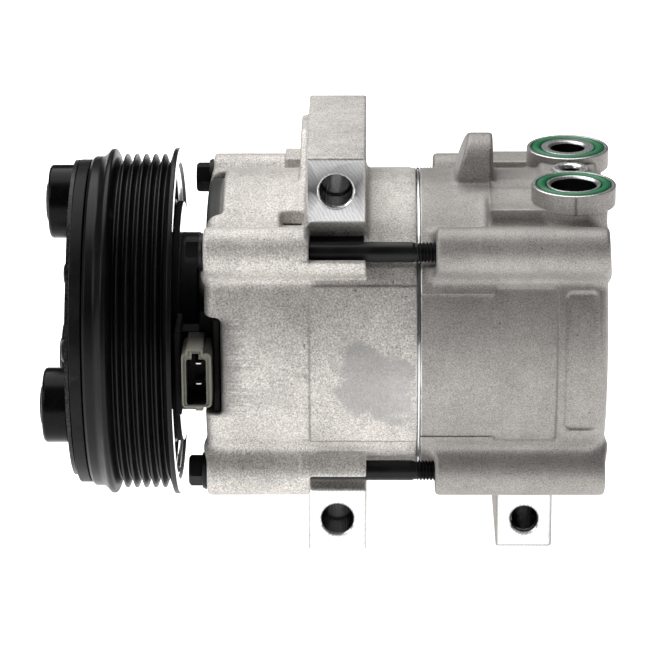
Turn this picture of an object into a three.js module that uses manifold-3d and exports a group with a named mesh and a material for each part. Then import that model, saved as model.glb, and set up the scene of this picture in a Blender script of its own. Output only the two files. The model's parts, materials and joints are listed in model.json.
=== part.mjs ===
// Automotive air-conditioning compressor: ten-cylinder swash-plate pump with an electromagnetic
// clutch and a six-groove pulley, held together by four long outside bolts.
//
// Millimetres. +X runs rearwards along the shaft from the front face of the hub bolt, +Z is up,
// and the coil connector faces -Y. Places along the shaft are called stations.

import * as THREE from 'three';
import { mergeVertices } from 'three/addons/utils/BufferGeometryUtils.js';
import Module from 'manifold-3d';

const wasm = await Module();
wasm.setup();

// ---------------------------------------------------------------- driving dimensions

const GAP = 0.3;                 // clearance left between pieces that rest on each other
const LARGE_ROUND = 32;          // sides of a large round, such as a housing
const MEDIUM_ROUND = 24;         // sides of a medium round, such as a bearing race
const SMALL_ROUND = 16;          // sides of a small round, such as a bolt boss

// Housings
const FRONT_X = 54;              // front face of the front housing
const SEAM_X = 132.35;           // middle of the split between the housings
const SEAM_WIDTH = 1.1;
const REAR_X = 201.5;            // rear end of the rear housing
const BODY_R = 58;
const SHELL_R = 53.8;            // bore that takes the cylinder blocks
const FRONT_SHELL_END = SEAM_X - SEAM_WIDTH / 2;
const REAR_SHELL_START = SEAM_X + SEAM_WIDTH / 2;
const SHELL_BACK = 79.8;         // where the front housing's bore for the block ends
const CHAMBER_BACK = 67;         // front wall of the front housing's gas chambers

// Through bolts, M8 x 1.25
const BOLT_CIRCLE_R = 61.8;
const BOLT_ANGLES = [44, 136, 224, 316];
const BOLT_R = 3.75;
const BOLT_THREAD_R = 3.9;
const BOLT_BOSS_R = 9.2;
const CHANNEL_R = 5;             // shallow channel in the housings beside the bare part of a bolt
const FRONT_BOSS_END = 92.3;
const BOSS_LIP_Z = 42;           // a half boss, inside this height, runs on to the rear of the ear
const REAR_BOSS_START = 138.5;

// Mounting ears, with their holes across the shaft line
const EAR_HALF_LENGTH = 40;
const EAR_HOLE_Z = 64.8;
const EAR_ROOT = 44;             // height inside the body at which the ears start
const FRONT_EAR = [91.3, 113];
const REAR_EAR = [161.6, 182.5];
const FRONT_EAR_TIP = 77.4;
const REAR_EAR_TIP = 75.9;
const FRONT_HOLE_X = 102.2;
const REAR_HOLE_X = 172.2;
const FRONT_HOLE_R = 5.5;
const FRONT_COUNTERBORE_R = 6.1;
const REAR_HOLE_R = 4.7;

// Refrigerant ports on top of the rear housing
const PORT_X = 189.3;
const PORT_Y = 22.6;
const PORT_Z = 62;
const PORT_SEAT = 52;            // bottom of a port's wide bore
const PORT_R = 15.5;
const PORT_RIM = 54.6;           // a port stands out past the rear end from this height up
const SUCTION_HOLE_R = 8.4;
const DISCHARGE_HOLE_R = 6.5;
const PORT_GROOVE = [10, 14];
const PORT_GROOVE_DEPTH = 2.2;

// Pump
const PISTON_COUNT = 5;
const SWASH_TILT = THREE.MathUtils.degToRad(16);
const PISTON_PITCH_R = 36.6;     // measured in the plane of the swash plate
const BORE_PITCH_R = PISTON_PITCH_R * (1 + Math.cos(SWASH_TILT)) / 2;
const BORE_R = 15.6;
const PISTON_R = 14.2;
const PISTON_HALF_LENGTH = 37.15;
const PLATE_R = 45.8;
const PLATE_HALF = 4;
const SHOE_R = 10.5;
const BLOCK_R = 53.4;
const BLOCK_HALF = 48.05;
const CHAMBER_HALF = 18.85;      // half the length of the space that the swash plate turns in
const SHAFT_R = 10;
const BEARING_R = 13.7;

// Clutch
const HUB_PLATE = [3.3, 4.7];
const HUB_BOSS_FRONT = 0.4;
const ARMATURE = [5, 9.3];
const ARMATURE_R = 61.3;
const FRICTION_X = 9.8;
const PULLEY_REAR = 42.5;
const GROOVE_PITCH = 3.56;
const GROOVE_COUNT = 6;
const FIRST_VALLEY = 20.8;
const RIB_TIP_R = 63.4;
const RIB_VALLEY_R = 60;
const FLANGE_R = 65.6;
const SNOUT_R = 20;
const COIL_COVER_END = 50.4;     // rear of the field coil, where it seats on the front housing
const COIL_COVER_R = 34;
const NOTCH_Z = [-16, 20.5];     // notch in the front housing beside the coil connector
const NOTCH_END = 60.1;
const NOTCH_FLOOR = -44.5;
const DAMPER_R = 46.1;
const DAMPER_ANGLES = [82.2, 202.2, 322.2];
const CUP_R = 13.5;
const CUP_FRONT = -6.1;
const PIN_FRONT = -7.3;
const RIVET_R = 17.9;            // circle of the three rivets that hold the hub plate to its boss
const RIVET_FRONT = -1.8;
const BALL_COUNT = 8;
const TERMINAL_Z = [5, -2.9];

// ---------------------------------------------------------------- finishes

const finish = (color, roughness, metalness) => ({ color, roughness, metalness });
const CAST = finish(0xb9b7b2, 0.62, 0.75);
const CAST_REAR = finish(0xa9a6a1, 0.55, 0.75);
const MACHINED = finish(0xd8d8d6, 0.3, 0.95);
const STEEL = finish(0x9a9a98, 0.35, 0.95);
const BLACK_STEEL = finish(0x151515, 0.45, 0.6);
const BLACK_PAINT = finish(0x101010, 0.4, 0.2);
const RUBBER = finish(0x0d0d0d, 0.8, 0);
const GREEN_RUBBER = finish(0x128a3c, 0.5, 0);
const CONNECTOR_PLASTIC = finish(0x5f6355, 0.55, 0);
const COPPER_COIL = finish(0x2a2a2a, 0.6, 0.3);
const TINNED = finish(0xcfcfca, 0.3, 0.95);

// ---------------------------------------------------------------- making and joining solids

function signedVolume(position, corners) {
  const [a, b, c] = [new THREE.Vector3(), new THREE.Vector3(), new THREE.Vector3()];
  let volume = 0;
  for (let i = 0; i < corners.length; i += 3) {
    a.fromArray(position, 3 * corners[i]);
    b.fromArray(position, 3 * corners[i + 1]);
    c.fromArray(position, 3 * corners[i + 2]);
    volume += a.dot(b.cross(c)) / 6;
  }
  return volume;
}

// A closed geometry as a solid, with collapsed triangles left out and its faces turned outwards.
function solid(geometry) {
  geometry.deleteAttribute('normal');
  geometry.deleteAttribute('uv');
  const merged = mergeVertices(geometry, 1e-4);
  const position = merged.attributes.position.array;
  const index = merged.index.array;
  let corners = [];
  for (let i = 0; i < index.length; i += 3) {
    const [a, b, c] = [index[i], index[i + 1], index[i + 2]];
    if (a !== b && b !== c && c !== a) corners.push(a, b, c);
  }
  if (signedVolume(position, corners) < 0) corners = corners.reverse();
  return new wasm.Manifold(new wasm.Mesh({
    numProp: 3,
    vertProperties: Float32Array.from(position),
    triVerts: Uint32Array.from(corners),
  }));
}

const join = (first, ...others) => others.reduce((sum, other) => sum.add(other), first);
const cut = (first, ...others) => others.reduce((rest, other) => rest.subtract(other), first);

function mesh(name, body, look) {
  const { vertProperties, triVerts } = body.getMesh();
  const geometry = new THREE.BufferGeometry();
  geometry.setAttribute('position', new THREE.BufferAttribute(Float32Array.from(vertProperties), 3));
  geometry.setIndex(new THREE.BufferAttribute(Uint32Array.from(triVerts), 1));
  geometry.computeVertexNormals();
  const piece = new THREE.Mesh(geometry, new THREE.MeshStandardMaterial(look));
  piece.name = name;
  return piece;
}

// Turned about the shaft line from [station, radius] points. A profile that doesn't start and end
// on the shaft line closes on itself and makes a ring.
function turned(points, segments = SMALL_ROUND) {
  const profile = points.map(([x, r]) => new THREE.Vector2(r, x));
  const onAxis = points[0][1] === 0 && points[points.length - 1][1] === 0;
  if (!onAxis) profile.push(profile[0].clone());
  const geometry = new THREE.LatheGeometry(profile, segments);
  geometry.rotateZ(-Math.PI / 2);
  return solid(geometry);
}

const disc = (x0, x1, r, segments = SMALL_ROUND) => turned([[x0, 0], [x0, r], [x1, r], [x1, 0]], segments);

function ring(x0, x1, inner, outer, segments = SMALL_ROUND) {
  return turned([[x0, inner], [x0, outer], [x1, outer], [x1, inner]], segments);
}

// A round bar parallel to the shaft.
function bar(x0, x1, r, y, z, segments = SMALL_ROUND) {
  const geometry = new THREE.CylinderGeometry(r, r, x1 - x0, segments);
  geometry.rotateZ(-Math.PI / 2);
  geometry.translate((x0 + x1) / 2, y, z);
  return solid(geometry);
}

// A round bar across the shaft line, along Y.
function crossBar(y0, y1, r, x, z, segments = SMALL_ROUND) {
  const geometry = new THREE.CylinderGeometry(r, r, y1 - y0, segments);
  geometry.translate(x, (y0 + y1) / 2, z);
  return solid(geometry);
}

// An upright round bar, along Z.
function upright(z0, z1, r, x, y, segments = SMALL_ROUND) {
  const geometry = new THREE.CylinderGeometry(r, r, z1 - z0, segments);
  geometry.rotateX(Math.PI / 2);
  geometry.translate(x, y, (z0 + z1) / 2);
  return solid(geometry);
}

function block([x0, x1], [y0, y1], [z0, z1]) {
  const geometry = new THREE.BoxGeometry(x1 - x0, y1 - y0, z1 - z0);
  geometry.translate((x0 + x1) / 2, (y0 + y1) / 2, (z0 + z1) / 2);
  return solid(geometry);
}

// An outline in the YZ plane, drawn along X.
function plate(shape, x0, x1, curveSegments = 8) {
  const options = { depth: x1 - x0, bevelEnabled: false, curveSegments };
  const geometry = new THREE.ExtrudeGeometry(shape, options);
  const across = new THREE.Vector3(0, 1, 0);
  const upwards = new THREE.Vector3(0, 0, 1);
  const rearwards = new THREE.Vector3(1, 0, 0);
  geometry.applyMatrix4(new THREE.Matrix4().makeBasis(across, upwards, rearwards));
  geometry.translate(x0, 0, 0);
  return solid(geometry);
}

// An outline in the XZ plane, drawn along Y.
function slab(points, y0, y1) {
  const shape = new THREE.Shape(points.map(([x, z]) => new THREE.Vector2(x, z)));
  const geometry = new THREE.ExtrudeGeometry(shape, { depth: y1 - y0, bevelEnabled: false });
  geometry.rotateX(Math.PI / 2);
  geometry.translate(0, y1, 0);
  return solid(geometry);
}

// The Y and Z of a place at a radius and an angle, measured from +Y towards +Z.
function around(radius, degrees) {
  const angle = THREE.MathUtils.degToRad(degrees);
  return [radius * Math.cos(angle), radius * Math.sin(angle)];
}

// ---------------------------------------------------------------- housings

// What both housings get along every through bolt: a boss, a hole and a shallow channel.
function withBoltBosses(body, bossEnds, holeEnds, channelEnds) {
  let result = body;
  for (const angle of BOLT_ANGLES) {
    const [y, z] = around(BOLT_CIRCLE_R, angle);
    result = result.add(bar(...bossEnds, BOLT_BOSS_R, y, z));
  }
  for (const angle of BOLT_ANGLES) {
    const [y, z] = around(BOLT_CIRCLE_R, angle);
    result = result.subtract(bar(...holeEnds, BOLT_THREAD_R + 0.5, y, z, 8));
    result = result.subtract(bar(...channelEnds, CHANNEL_R, y, z, 10));
  }
  return result;
}

// A mounting ear: a long block across the shaft line.
function ear(stations, tip) {
  const heights = [EAR_ROOT * Math.sign(tip), tip].sort((a, b) => a - b);
  return block(stations, [-EAR_HALF_LENGTH, EAR_HALF_LENGTH], heights);
}

// The front ears are hollowed where the bolts pass them in the open.
function frontEar(tip) {
  let body = ear(FRONT_EAR, tip);
  for (const angle of BOLT_ANGLES) {
    const [y, z] = around(BOLT_CIRCLE_R, angle);
    body = body.subtract(bar(FRONT_EAR[0] - 1, FRONT_EAR[1] + 1, BOLT_BOSS_R + 1.3, y, z));
  }
  return body;
}

// The inner half of each front boss, which shields the bolt as far as the rear of the ear.
function bossLips() {
  const rear = FRONT_EAR[1];
  return BOLT_ANGLES.map((angle) => {
    const [y, z] = around(BOLT_CIRCLE_R, angle);
    const outerHeights = z > 0 ? [BOSS_LIP_Z, 80] : [-80, -BOSS_LIP_Z];
    const outerHalf = block([FRONT_BOSS_END - 1, rear + 1], [-70, 70], outerHeights);
    const channel = bar(FRONT_BOSS_END - 2, rear + 2, CHANNEL_R, y, z, 10);
    return cut(bar(FRONT_BOSS_END - 0.5, rear, BOLT_BOSS_R, y, z), outerHalf, channel);
  });
}

function earHole(x, z, radius, counterboreRadius, counterboreDepth) {
  const reach = EAR_HALF_LENGTH + 1;
  const through = crossBar(-reach, reach, radius, x, z);
  const near = crossBar(-reach, counterboreDepth - EAR_HALF_LENGTH, counterboreRadius, x, z);
  return through.add(near);
}

function frontHousing() {
  const shoulder = 46;
  const outside = turned([
    [11, 0], [11, 19.3], [11.7, SNOUT_R], [shoulder, SNOUT_R], [shoulder, 24],
    [COIL_COVER_END + GAP, 24], [COIL_COVER_END + GAP, COIL_COVER_R], [FRONT_X, COIL_COVER_R],
    [FRONT_X, BODY_R - 3.5], [FRONT_X + 3.5, BODY_R], [FRONT_SHELL_END, BODY_R], [FRONT_SHELL_END, 0],
  ], LARGE_ROUND);
  let body = withBoltBosses(
    outside,
    [FRONT_X, FRONT_BOSS_END],
    [FRONT_X - 1, FRONT_BOSS_END + 1],
    [FRONT_BOSS_END, FRONT_SHELL_END + 1],
  );
  const upperRib = slab([[88.3, 50], [88.3, 63], [89.5, 68.5], [91.5, 70], [91.5, 50]], -14, 24);
  body = join(body, frontEar(FRONT_EAR_TIP), frontEar(-FRONT_EAR_TIP), upperRib, ...bossLips());
  for (const side of [-1, 1]) {
    const hole = earHole(FRONT_HOLE_X, side * EAR_HOLE_Z, FRONT_HOLE_R, FRONT_COUNTERBORE_R, 14);
    body = body.subtract(hole);
  }
  const connectorNotch = block([FRONT_X - 1, NOTCH_END], [-70, NOTCH_FLOOR], NOTCH_Z);
  const cavity = join(
    disc(SHELL_BACK, FRONT_SHELL_END + 1, SHELL_R, LARGE_ROUND),
    ring(CHAMBER_BACK, SHELL_BACK + 1, 20, 34),
    ring(CHAMBER_BACK, SHELL_BACK + 1, 37.5, 50, LARGE_ROUND),
  );
  const sealBore = turned([
    [10, 0], [10, 12.6], [21.9, 12.6], [21.9, 14], [23.7, 14], [23.7, 12.6], [40, 12.6],
    [40, 11], [83, 11], [83, 0],
  ]);
  const clipGrooves = [ring(12, 13.7, 18.7, 21), ring(41.5, 43.1, 18.7, 21)];
  return cut(body, connectorNotch, cavity, sealBore, ...clipGrooves);
}

function rearHousing() {
  const mirror = (x) => 2 * SEAM_X - x;
  const outside = turned([
    [REAR_SHELL_START, 0], [REAR_SHELL_START, BODY_R], [REAR_X - 6, BODY_R], [REAR_X - 2, BODY_R - 2],
    [REAR_X, BODY_R - 6.5], [REAR_X, 0],
  ], LARGE_ROUND);
  const nearLedge = block([158, 192], [-34, -15], [44, 55.6]);
  const farLedge = block([160, 178], [30, 44], [44, 53.7]);
  let body = withBoltBosses(
    join(outside, nearLedge, farLedge, ear(REAR_EAR, -REAR_EAR_TIP)),
    [REAR_BOSS_START, REAR_X],
    [REAR_BOSS_START - 1, REAR_X - 12],
    [REAR_SHELL_START - 1, REAR_BOSS_START],
  );
  const upperLug = slab([[146.2, 54], [149.6, 71.5], [160.2, 71.5], [160.2, 54]], -6.2, 14);
  const portWeb = block([178, REAR_X - 2], [-20, 20], [50, 59.5]);
  body = join(body, upperLug, portWeb);
  const pastTheEnd = block([REAR_X, REAR_X + PORT_R], [-60, 60], [0, PORT_Z]);
  for (const side of [-1, 1]) {
    const foot = upright(38, PORT_RIM + 1, PORT_R, PORT_X, side * PORT_Y, MEDIUM_ROUND);
    const rim = upright(PORT_RIM, PORT_Z, PORT_R, PORT_X, side * PORT_Y, MEDIUM_ROUND);
    body = body.add(cut(foot, pastTheEnd)).add(rim);
  }
  body = body.add(upright(50, PORT_Z - 1, 7, PORT_X, 0));
  const holes = [
    earHole(REAR_HOLE_X, -EAR_HOLE_Z, REAR_HOLE_R, REAR_HOLE_R + 0.6, 2),
    upright(49, PORT_Z + 1, 3.4, PORT_X, 0, 12),
  ];
  const ports = [
    { y: -PORT_Y, radius: SUCTION_HOLE_R, feedRadius: 5.2, feedBottom: 40 },
    { y: PORT_Y, radius: DISCHARGE_HOLE_R, feedRadius: 4, feedBottom: 25 },
  ];
  for (const { y, radius, feedRadius, feedBottom } of ports) {
    const [inner, outer] = PORT_GROOVE;
    holes.push(cut(
      upright(PORT_Z - PORT_GROOVE_DEPTH, PORT_Z + 1, outer, PORT_X, y),
      upright(PORT_Z - PORT_GROOVE_DEPTH - 1, PORT_Z + 2, inner, PORT_X, y),
    ));
    holes.push(upright(PORT_SEAT - 1, PORT_Z + 1, radius, PORT_X, y));
    holes.push(upright(feedBottom, PORT_SEAT, feedRadius, PORT_X + 1, y, 12));
  }
  const cavity = join(
    disc(REAR_SHELL_START - 1, mirror(SHELL_BACK), SHELL_R, LARGE_ROUND),
    disc(mirror(SHELL_BACK) - 1, mirror(CHAMBER_BACK), 34),
    ring(mirror(SHELL_BACK) - 1, mirror(CHAMBER_BACK), 37.5, 50, LARGE_ROUND),
  );
  return cut(body, ...holes, cavity);
}

// ---------------------------------------------------------------- pump

// A cylinder block for the front (side -1) or the rear (side 1).
function cylinderBlock(side) {
  const at = (distance) => SEAM_X + side * distance;
  const ends = (near, far) => [Math.min(at(near), at(far)), Math.max(at(near), at(far))];
  let body = disc(...ends(GAP, BLOCK_HALF), BLOCK_R, LARGE_ROUND);
  body = body.subtract(disc(...ends(-1, CHAMBER_HALF), 51.5, LARGE_ROUND));
  body = body.subtract(disc(...ends(0, BLOCK_HALF + 1), BEARING_R + GAP));
  for (let i = 0; i < PISTON_COUNT; i += 1) {
    const [y, z] = around(BORE_PITCH_R, pistonAngle(i));
    body = body.subtract(bar(...ends(CHAMBER_HALF - 1, BLOCK_HALF + 1), BORE_R, y, z));
  }
  return body;
}

const pistonAngle = (i) => 90 + i * 360 / PISTON_COUNT;

// The middle of piston i at rest: a point of the swash plate's middle plane.
function pistonCentre(i) {
  const [across, up] = around(PISTON_PITCH_R, pistonAngle(i));
  return new THREE.Vector3(
    SEAM_X + up * Math.sin(SWASH_TILT),
    across,
    up * Math.cos(SWASH_TILT),
  );
}

// A double-ended piston about its own middle, with the bridge that joins its heads towards +Z.
function piston() {
  const slotHalf = 9;
  const bridge = 11;
  let body = bar(-PISTON_HALF_LENGTH, PISTON_HALF_LENGTH, PISTON_R, 0, 0);
  const reach = PISTON_R + 1;
  body = body.subtract(block([-slotHalf, slotHalf], [-reach, reach], [-reach, bridge]));
  const pocket = new THREE.SphereGeometry(SHOE_R + 3 * GAP, 12, 8);
  return body.subtract(solid(pocket));
}

// A shoe about the middle of its piston: the cap of a ball, flat towards the swash plate.
function shoe(side) {
  const ball = new THREE.SphereGeometry(SHOE_R, 12, 8);
  ball.rotateZ(Math.PI / 2);
  const flat = PLATE_HALF + GAP;
  const reach = SHOE_R + 1;
  const far = side < 0 ? [-flat, reach] : [-reach, flat];
  return solid(ball).subtract(block(far, [-reach, reach], [-reach, reach]));
}

function valvePlate(x0, x1, centreHole) {
  let body = disc(x0, x1, BLOCK_R, LARGE_ROUND);
  if (centreHole > 0) body = body.subtract(disc(x0 - 1, x1 + 1, centreHole));
  for (let i = 0; i < PISTON_COUNT; i += 1) {
    const suction = around(44, pistonAngle(i));
    const discharge = around(28, pistonAngle(i));
    body = body.subtract(bar(x0 - 1, x1 + 1, 3.6, ...suction, 8));
    body = body.subtract(bar(x0 - 1, x1 + 1, 3, ...discharge, 8));
  }
  return body;
}

// A thin spring-steel disc whose five reeds are freed by a pair of slots each.
function reedDisc(x0, x1, centreHole) {
  let body = disc(x0, x1, BLOCK_R, LARGE_ROUND);
  if (centreHole > 0) body = body.subtract(disc(x0 - 1, x1 + 1, centreHole));
  for (let i = 0; i < PISTON_COUNT; i += 1) {
    for (const side of [-1, 1]) {
      const slot = block([x0 - 1, x1 + 1], [26, 49], side < 0 ? [-6, -5] : [5, 6]);
      body = body.subtract(slot.rotate([pistonAngle(i), 0, 0]));
    }
  }
  return body;
}

function shaft() {
  return cut(
    turned([
      [8, 0], [8, 7.6], [8.8, 8.4], [24, 8.4], [24, 9], [86, 9], [87, SHAFT_R], [178, SHAFT_R],
      [179, 9], [179, 0],
    ]),
    disc(7, 28, 4.1, 10),
  );
}

function swashPlate() {
  const tilted = disc(-PLATE_HALF, PLATE_HALF, PLATE_R, LARGE_ROUND).rotate([0, 16, 0]);
  const hub = disc(-15, 15, 20);
  return join(tilted, hub).translate([SEAM_X, 0, 0]).subtract(disc(100, 160, SHAFT_R + GAP));
}

// ---------------------------------------------------------------- clutch

function pulley() {
  const grooves = [];
  for (let i = 0; i < GROOVE_COUNT; i += 1) {
    const valley = FIRST_VALLEY + i * GROOVE_PITCH;
    grooves.push([valley, RIB_VALLEY_R]);
    if (i < GROOVE_COUNT - 1) grooves.push([valley + GROOVE_PITCH / 2, RIB_TIP_R]);
  }
  return turned([
    [FRICTION_X, 24], [FRICTION_X, 61.6], [10.8, 62.5], [14, 62.5], [15.7, 63.9],
    [16.8, FLANGE_R - 0.2], [18.4, FLANGE_R - 0.2], [19.4, 64.1], ...grooves,
    [40.4, 64.4], [40.8, FLANGE_R], [PULLEY_REAR, FLANGE_R], [PULLEY_REAR, 60], [40.5, 58.6],
    [18, 58], [18, 46.2], [42.9, 46.2], [42.9, 43.6], [15.5, 43.6],
    [15.5, 30.6], [40, 30.6], [40, 27.6], [13.7, 27.6], [13.7, 24],
  ], LARGE_ROUND);
}

function ballCage() {
  const ballPitch = 23.5;
  const balls = [];
  for (let i = 0; i < BALL_COUNT; i += 1) {
    const [y, z] = around(ballPitch, i * 360 / BALL_COUNT);
    const ball = new THREE.IcosahedronGeometry(1.3);
    ball.translate(24, y, z);
    balls.push(solid(ball));
  }
  return join(ring(23, 25, ballPitch - 0.5, ballPitch + 0.5), ...balls);
}

// A bearing race with its ball groove, between two radii; the groove is on the given side.
function race(inner, outer, grooveRadius, grooveOutside) {
  const depth = 0.6;
  const [low, high] = grooveOutside ? [inner, grooveRadius] : [grooveRadius, outer];
  const dip = grooveOutside ? grooveRadius - depth : grooveRadius + depth;
  const plain = grooveOutside ? low : high;
  const grooved = grooveOutside ? high : low;
  return turned([
    [14, plain], [14, grooved], [22.5, grooved], [23.2, dip], [24.8, dip], [25.5, grooved],
    [34, grooved], [34, plain],
  ], MEDIUM_ROUND);
}

function fieldCoil() {
  const flangeFront = 43.2;
  const flangeRear = 45.7;
  const bobbin = turned([
    [17.3, 31.2], [17.3, 43], [flangeFront, 43], [flangeFront, 45.5], [flangeRear, 45.5],
    [flangeRear, 20.4], [flangeFront, 20.4], [flangeFront, 31.2],
  ], LARGE_ROUND);
  const cover = ring(flangeRear - 1, COIL_COVER_END, 24.6, COIL_COVER_R - GAP, LARGE_ROUND);
  const overmould = block([flangeFront, flangeRear], [-58, -38], [-15.5, 17]);
  const leadBoss = block([flangeFront, 53.4], [-46.3, -38], [-12, 13]);
  const notchHeights = [NOTCH_Z[0] + GAP, NOTCH_Z[1] - GAP];
  const notchPad = block([57.3, NOTCH_END - GAP], [-54, NOTCH_FLOOR - GAP], notchHeights);
  const notchLink = block([52, NOTCH_END - GAP], [-46.3, NOTCH_FLOOR - GAP], notchHeights);
  return join(bobbin, cover, overmould, leadBoss, notchPad, notchLink);
}

function connector() {
  const shell = block([46.1, 57], [-64, -46.6], [-10.2, 10.5]);
  const latch = slab([[47.8, 10], [47.8, 12.6], [54.1, 12.6], [54.1, 10]], -64, -50);
  const key = block([50.2, 52.7], [-65, -52], [7, 9.8]);
  const cavity = block([47.9, 55.1], [-65, -52], [-8.4, 7.7]);
  let body = cut(join(shell, latch), cavity, key);
  for (const z of TERMINAL_Z) {
    body = body.subtract(block([50.6, 53.7], [-53, -46], [z - 0.7, z + 0.7]));
  }
  return body;
}

// The hub plate is a triangle whose corners round the dampers.
function hubPlateShape() {
  const shape = new THREE.Shape();
  DAMPER_ANGLES.forEach((degrees, i) => {
    const angle = THREE.MathUtils.degToRad(degrees);
    const steps = 6;
    for (let k = 0; k <= steps; k += 1) {
      const turn = angle - Math.PI / 3 + (2 * Math.PI / 3) * (k / steps);
      const toward = Math.cos(turn - angle);
      const reach = ARMATURE_R - 5.5 * (1 - toward) / (1 - Math.cos(Math.PI / 3));
      if (i === 0 && k === 0) shape.moveTo(reach * Math.cos(turn), reach * Math.sin(turn));
      else if (k > 0) shape.lineTo(reach * Math.cos(turn), reach * Math.sin(turn));
    }
  });
  return shape;
}

function driveHub() {
  const bossRear = HUB_PLATE[0] + 0.5;
  const rivets = DAMPER_ANGLES.map((angle) => bar(RIVET_FRONT, 1, 4.4, ...around(RIVET_R, angle - 3), 10));
  let body = join(
    plate(hubPlateShape(), ...HUB_PLATE),
    turned([[HUB_BOSS_FRONT, 0], [HUB_BOSS_FRONT, 23.5], [bossRear, 26.5], [bossRear, 0]]),
    disc(HUB_PLATE[0], 10.6, 12.3),
    disc(10, 20, 11.2),
    ...rivets,
  );
  body = cut(body, disc(HUB_BOSS_FRONT - 1, 5.6, 10), disc(2, 21, 4.1, 10), disc(7.7, 21, 8.8));
  for (const angle of DAMPER_ANGLES) {
    body = body.subtract(bar(2, 6, 4.7, ...around(DAMPER_R, angle), 12));
  }
  return body;
}

function armature() {
  let body = ring(...ARMATURE, 20, ARMATURE_R, LARGE_ROUND);
  for (const angle of DAMPER_ANGLES) {
    body = body.subtract(bar(4, 10, 4.4, ...around(DAMPER_R, angle), 12));
  }
  return body;
}

function damperCup() {
  return turned([
    [CUP_FRONT, 8.1], [CUP_FRONT, CUP_R - 1.6], [CUP_FRONT + 0.6, CUP_R - 0.5], [CUP_FRONT + 2, CUP_R],
    [3, CUP_R], [3, 12.4], [-4.6, 12.4], [-4.6, 8.1],
  ]);
}

const damperRubber = () => ring(-4.3, 2.7, 4.4, 12.1, 16);

const damperPin = () => turned([
  [PIN_FRONT, 0], [PIN_FRONT, 7.3], [PIN_FRONT + 0.4, 7.7], [-5.1, 7.7], [-5.1, 4], [9, 4], [9, 0],
], 12);

function hubBolt() {
  const hex = new THREE.CylinderGeometry(7.2, 7.2, 4, 6);
  hex.rotateZ(-Math.PI / 2);
  hex.translate(2, 0, 0);
  return join(solid(hex), disc(3.8, 5.2, 9.3), disc(5, 24, 3.7, 10));
}

// ---------------------------------------------------------------- fasteners and seals

// The flat ring between the housings, notched where the bolts pass.
function seamGasket() {
  let body = ring(SEAM_X - 0.25, SEAM_X + 0.25, BLOCK_R + GAP, 57.4, LARGE_ROUND);
  for (const angle of BOLT_ANGLES) {
    const [y, z] = around(BOLT_CIRCLE_R, angle);
    body = body.subtract(bar(SEAM_X - 1, SEAM_X + 1, CHANNEL_R, y, z, 10));
  }
  return body;
}

function throughBolt() {
  const hex = new THREE.CylinderGeometry(5.8, 5.8, 5.2, 6);
  hex.rotateZ(-Math.PI / 2);
  hex.translate(49.8, 0, 0);
  return join(
    solid(hex),
    bar(52.2, FRONT_X - GAP, 7.2, 0, 0, 16),
    bar(53, 132, BOLT_R, 0, 0, 10),
    bar(131.5, REAR_X - 13, BOLT_THREAD_R, 0, 0, 8),
  );
}

function portSeal() {
  const profile = [];
  for (let k = 0; k < 6; k += 1) {
    const angle = k * Math.PI / 3;
    profile.push(new THREE.Vector2(12 + 1.5 * Math.cos(angle), 1.3 * Math.sin(angle)));
  }
  profile.push(profile[0].clone());
  const geometry = new THREE.LatheGeometry(profile, SMALL_ROUND);
  geometry.rotateX(Math.PI / 2);
  return solid(geometry);
}

// ---------------------------------------------------------------- the assembly

const compressor = new THREE.Group();

const place = (piece, x, y, z) => {
  piece.position.set(x, y, z);
  compressor.add(piece);
  return piece;
};

compressor.add(
  mesh('front_housing', frontHousing(), CAST),
  mesh('rear_housing', rearHousing(), CAST_REAR),
  mesh('seam_gasket', seamGasket(), MACHINED),
  mesh('front_cylinder_block', cylinderBlock(-1), MACHINED),
  mesh('rear_cylinder_block', cylinderBlock(1), MACHINED),
  mesh('front_reed_disc', reedDisc(83.6, 84, 11.5), STEEL),
  mesh('front_valve_plate', valvePlate(80.2, 83.3, 11.5), STEEL),
  mesh('rear_reed_disc', reedDisc(180.7, 181.1, 0), STEEL),
  mesh('rear_valve_plate', valvePlate(181.4, 184.5, 0), STEEL),
  mesh('shaft', shaft(), STEEL),
  mesh('swash_plate', swashPlate(), STEEL),
  mesh('front_needle_bearing', ring(88, 104, SHAFT_R + GAP, BEARING_R), STEEL),
  mesh('rear_needle_bearing', ring(160.7, 176.7, SHAFT_R + GAP, BEARING_R), STEEL),
  mesh('front_thrust_bearing', ring(113.9, 117, 11, 20), STEEL),
  mesh('rear_thrust_bearing', ring(147.7, 150.8, 11, 20), STEEL),
  mesh('shaft_seal', ring(28, 36, 9.4, 12.2), RUBBER),
  mesh('seal_retaining_ring', ring(22.2, 23.4, 10.4, 13.6), STEEL),
);

for (let i = 0; i < PISTON_COUNT; i += 1) {
  const centre = pistonCentre(i);
  const outwards = THREE.MathUtils.degToRad(pistonAngle(i) - 90);
  const body = mesh(`piston_${i + 1}`, piston(), MACHINED);
  body.rotation.x = outwards;
  place(body, centre.x, centre.y, centre.z);
  for (const [side, end] of [[-1, 'front'], [1, 'rear']]) {
    const slipper = mesh(`${end}_shoe_${i + 1}`, shoe(side), STEEL);
    slipper.rotation.y = SWASH_TILT;
    place(slipper, centre.x, centre.y, centre.z);
  }
}

BOLT_ANGLES.forEach((angle, i) => {
  place(mesh(`through_bolt_${i + 1}`, throughBolt(), BLACK_STEEL), 0, ...around(BOLT_CIRCLE_R, angle));
});

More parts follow.
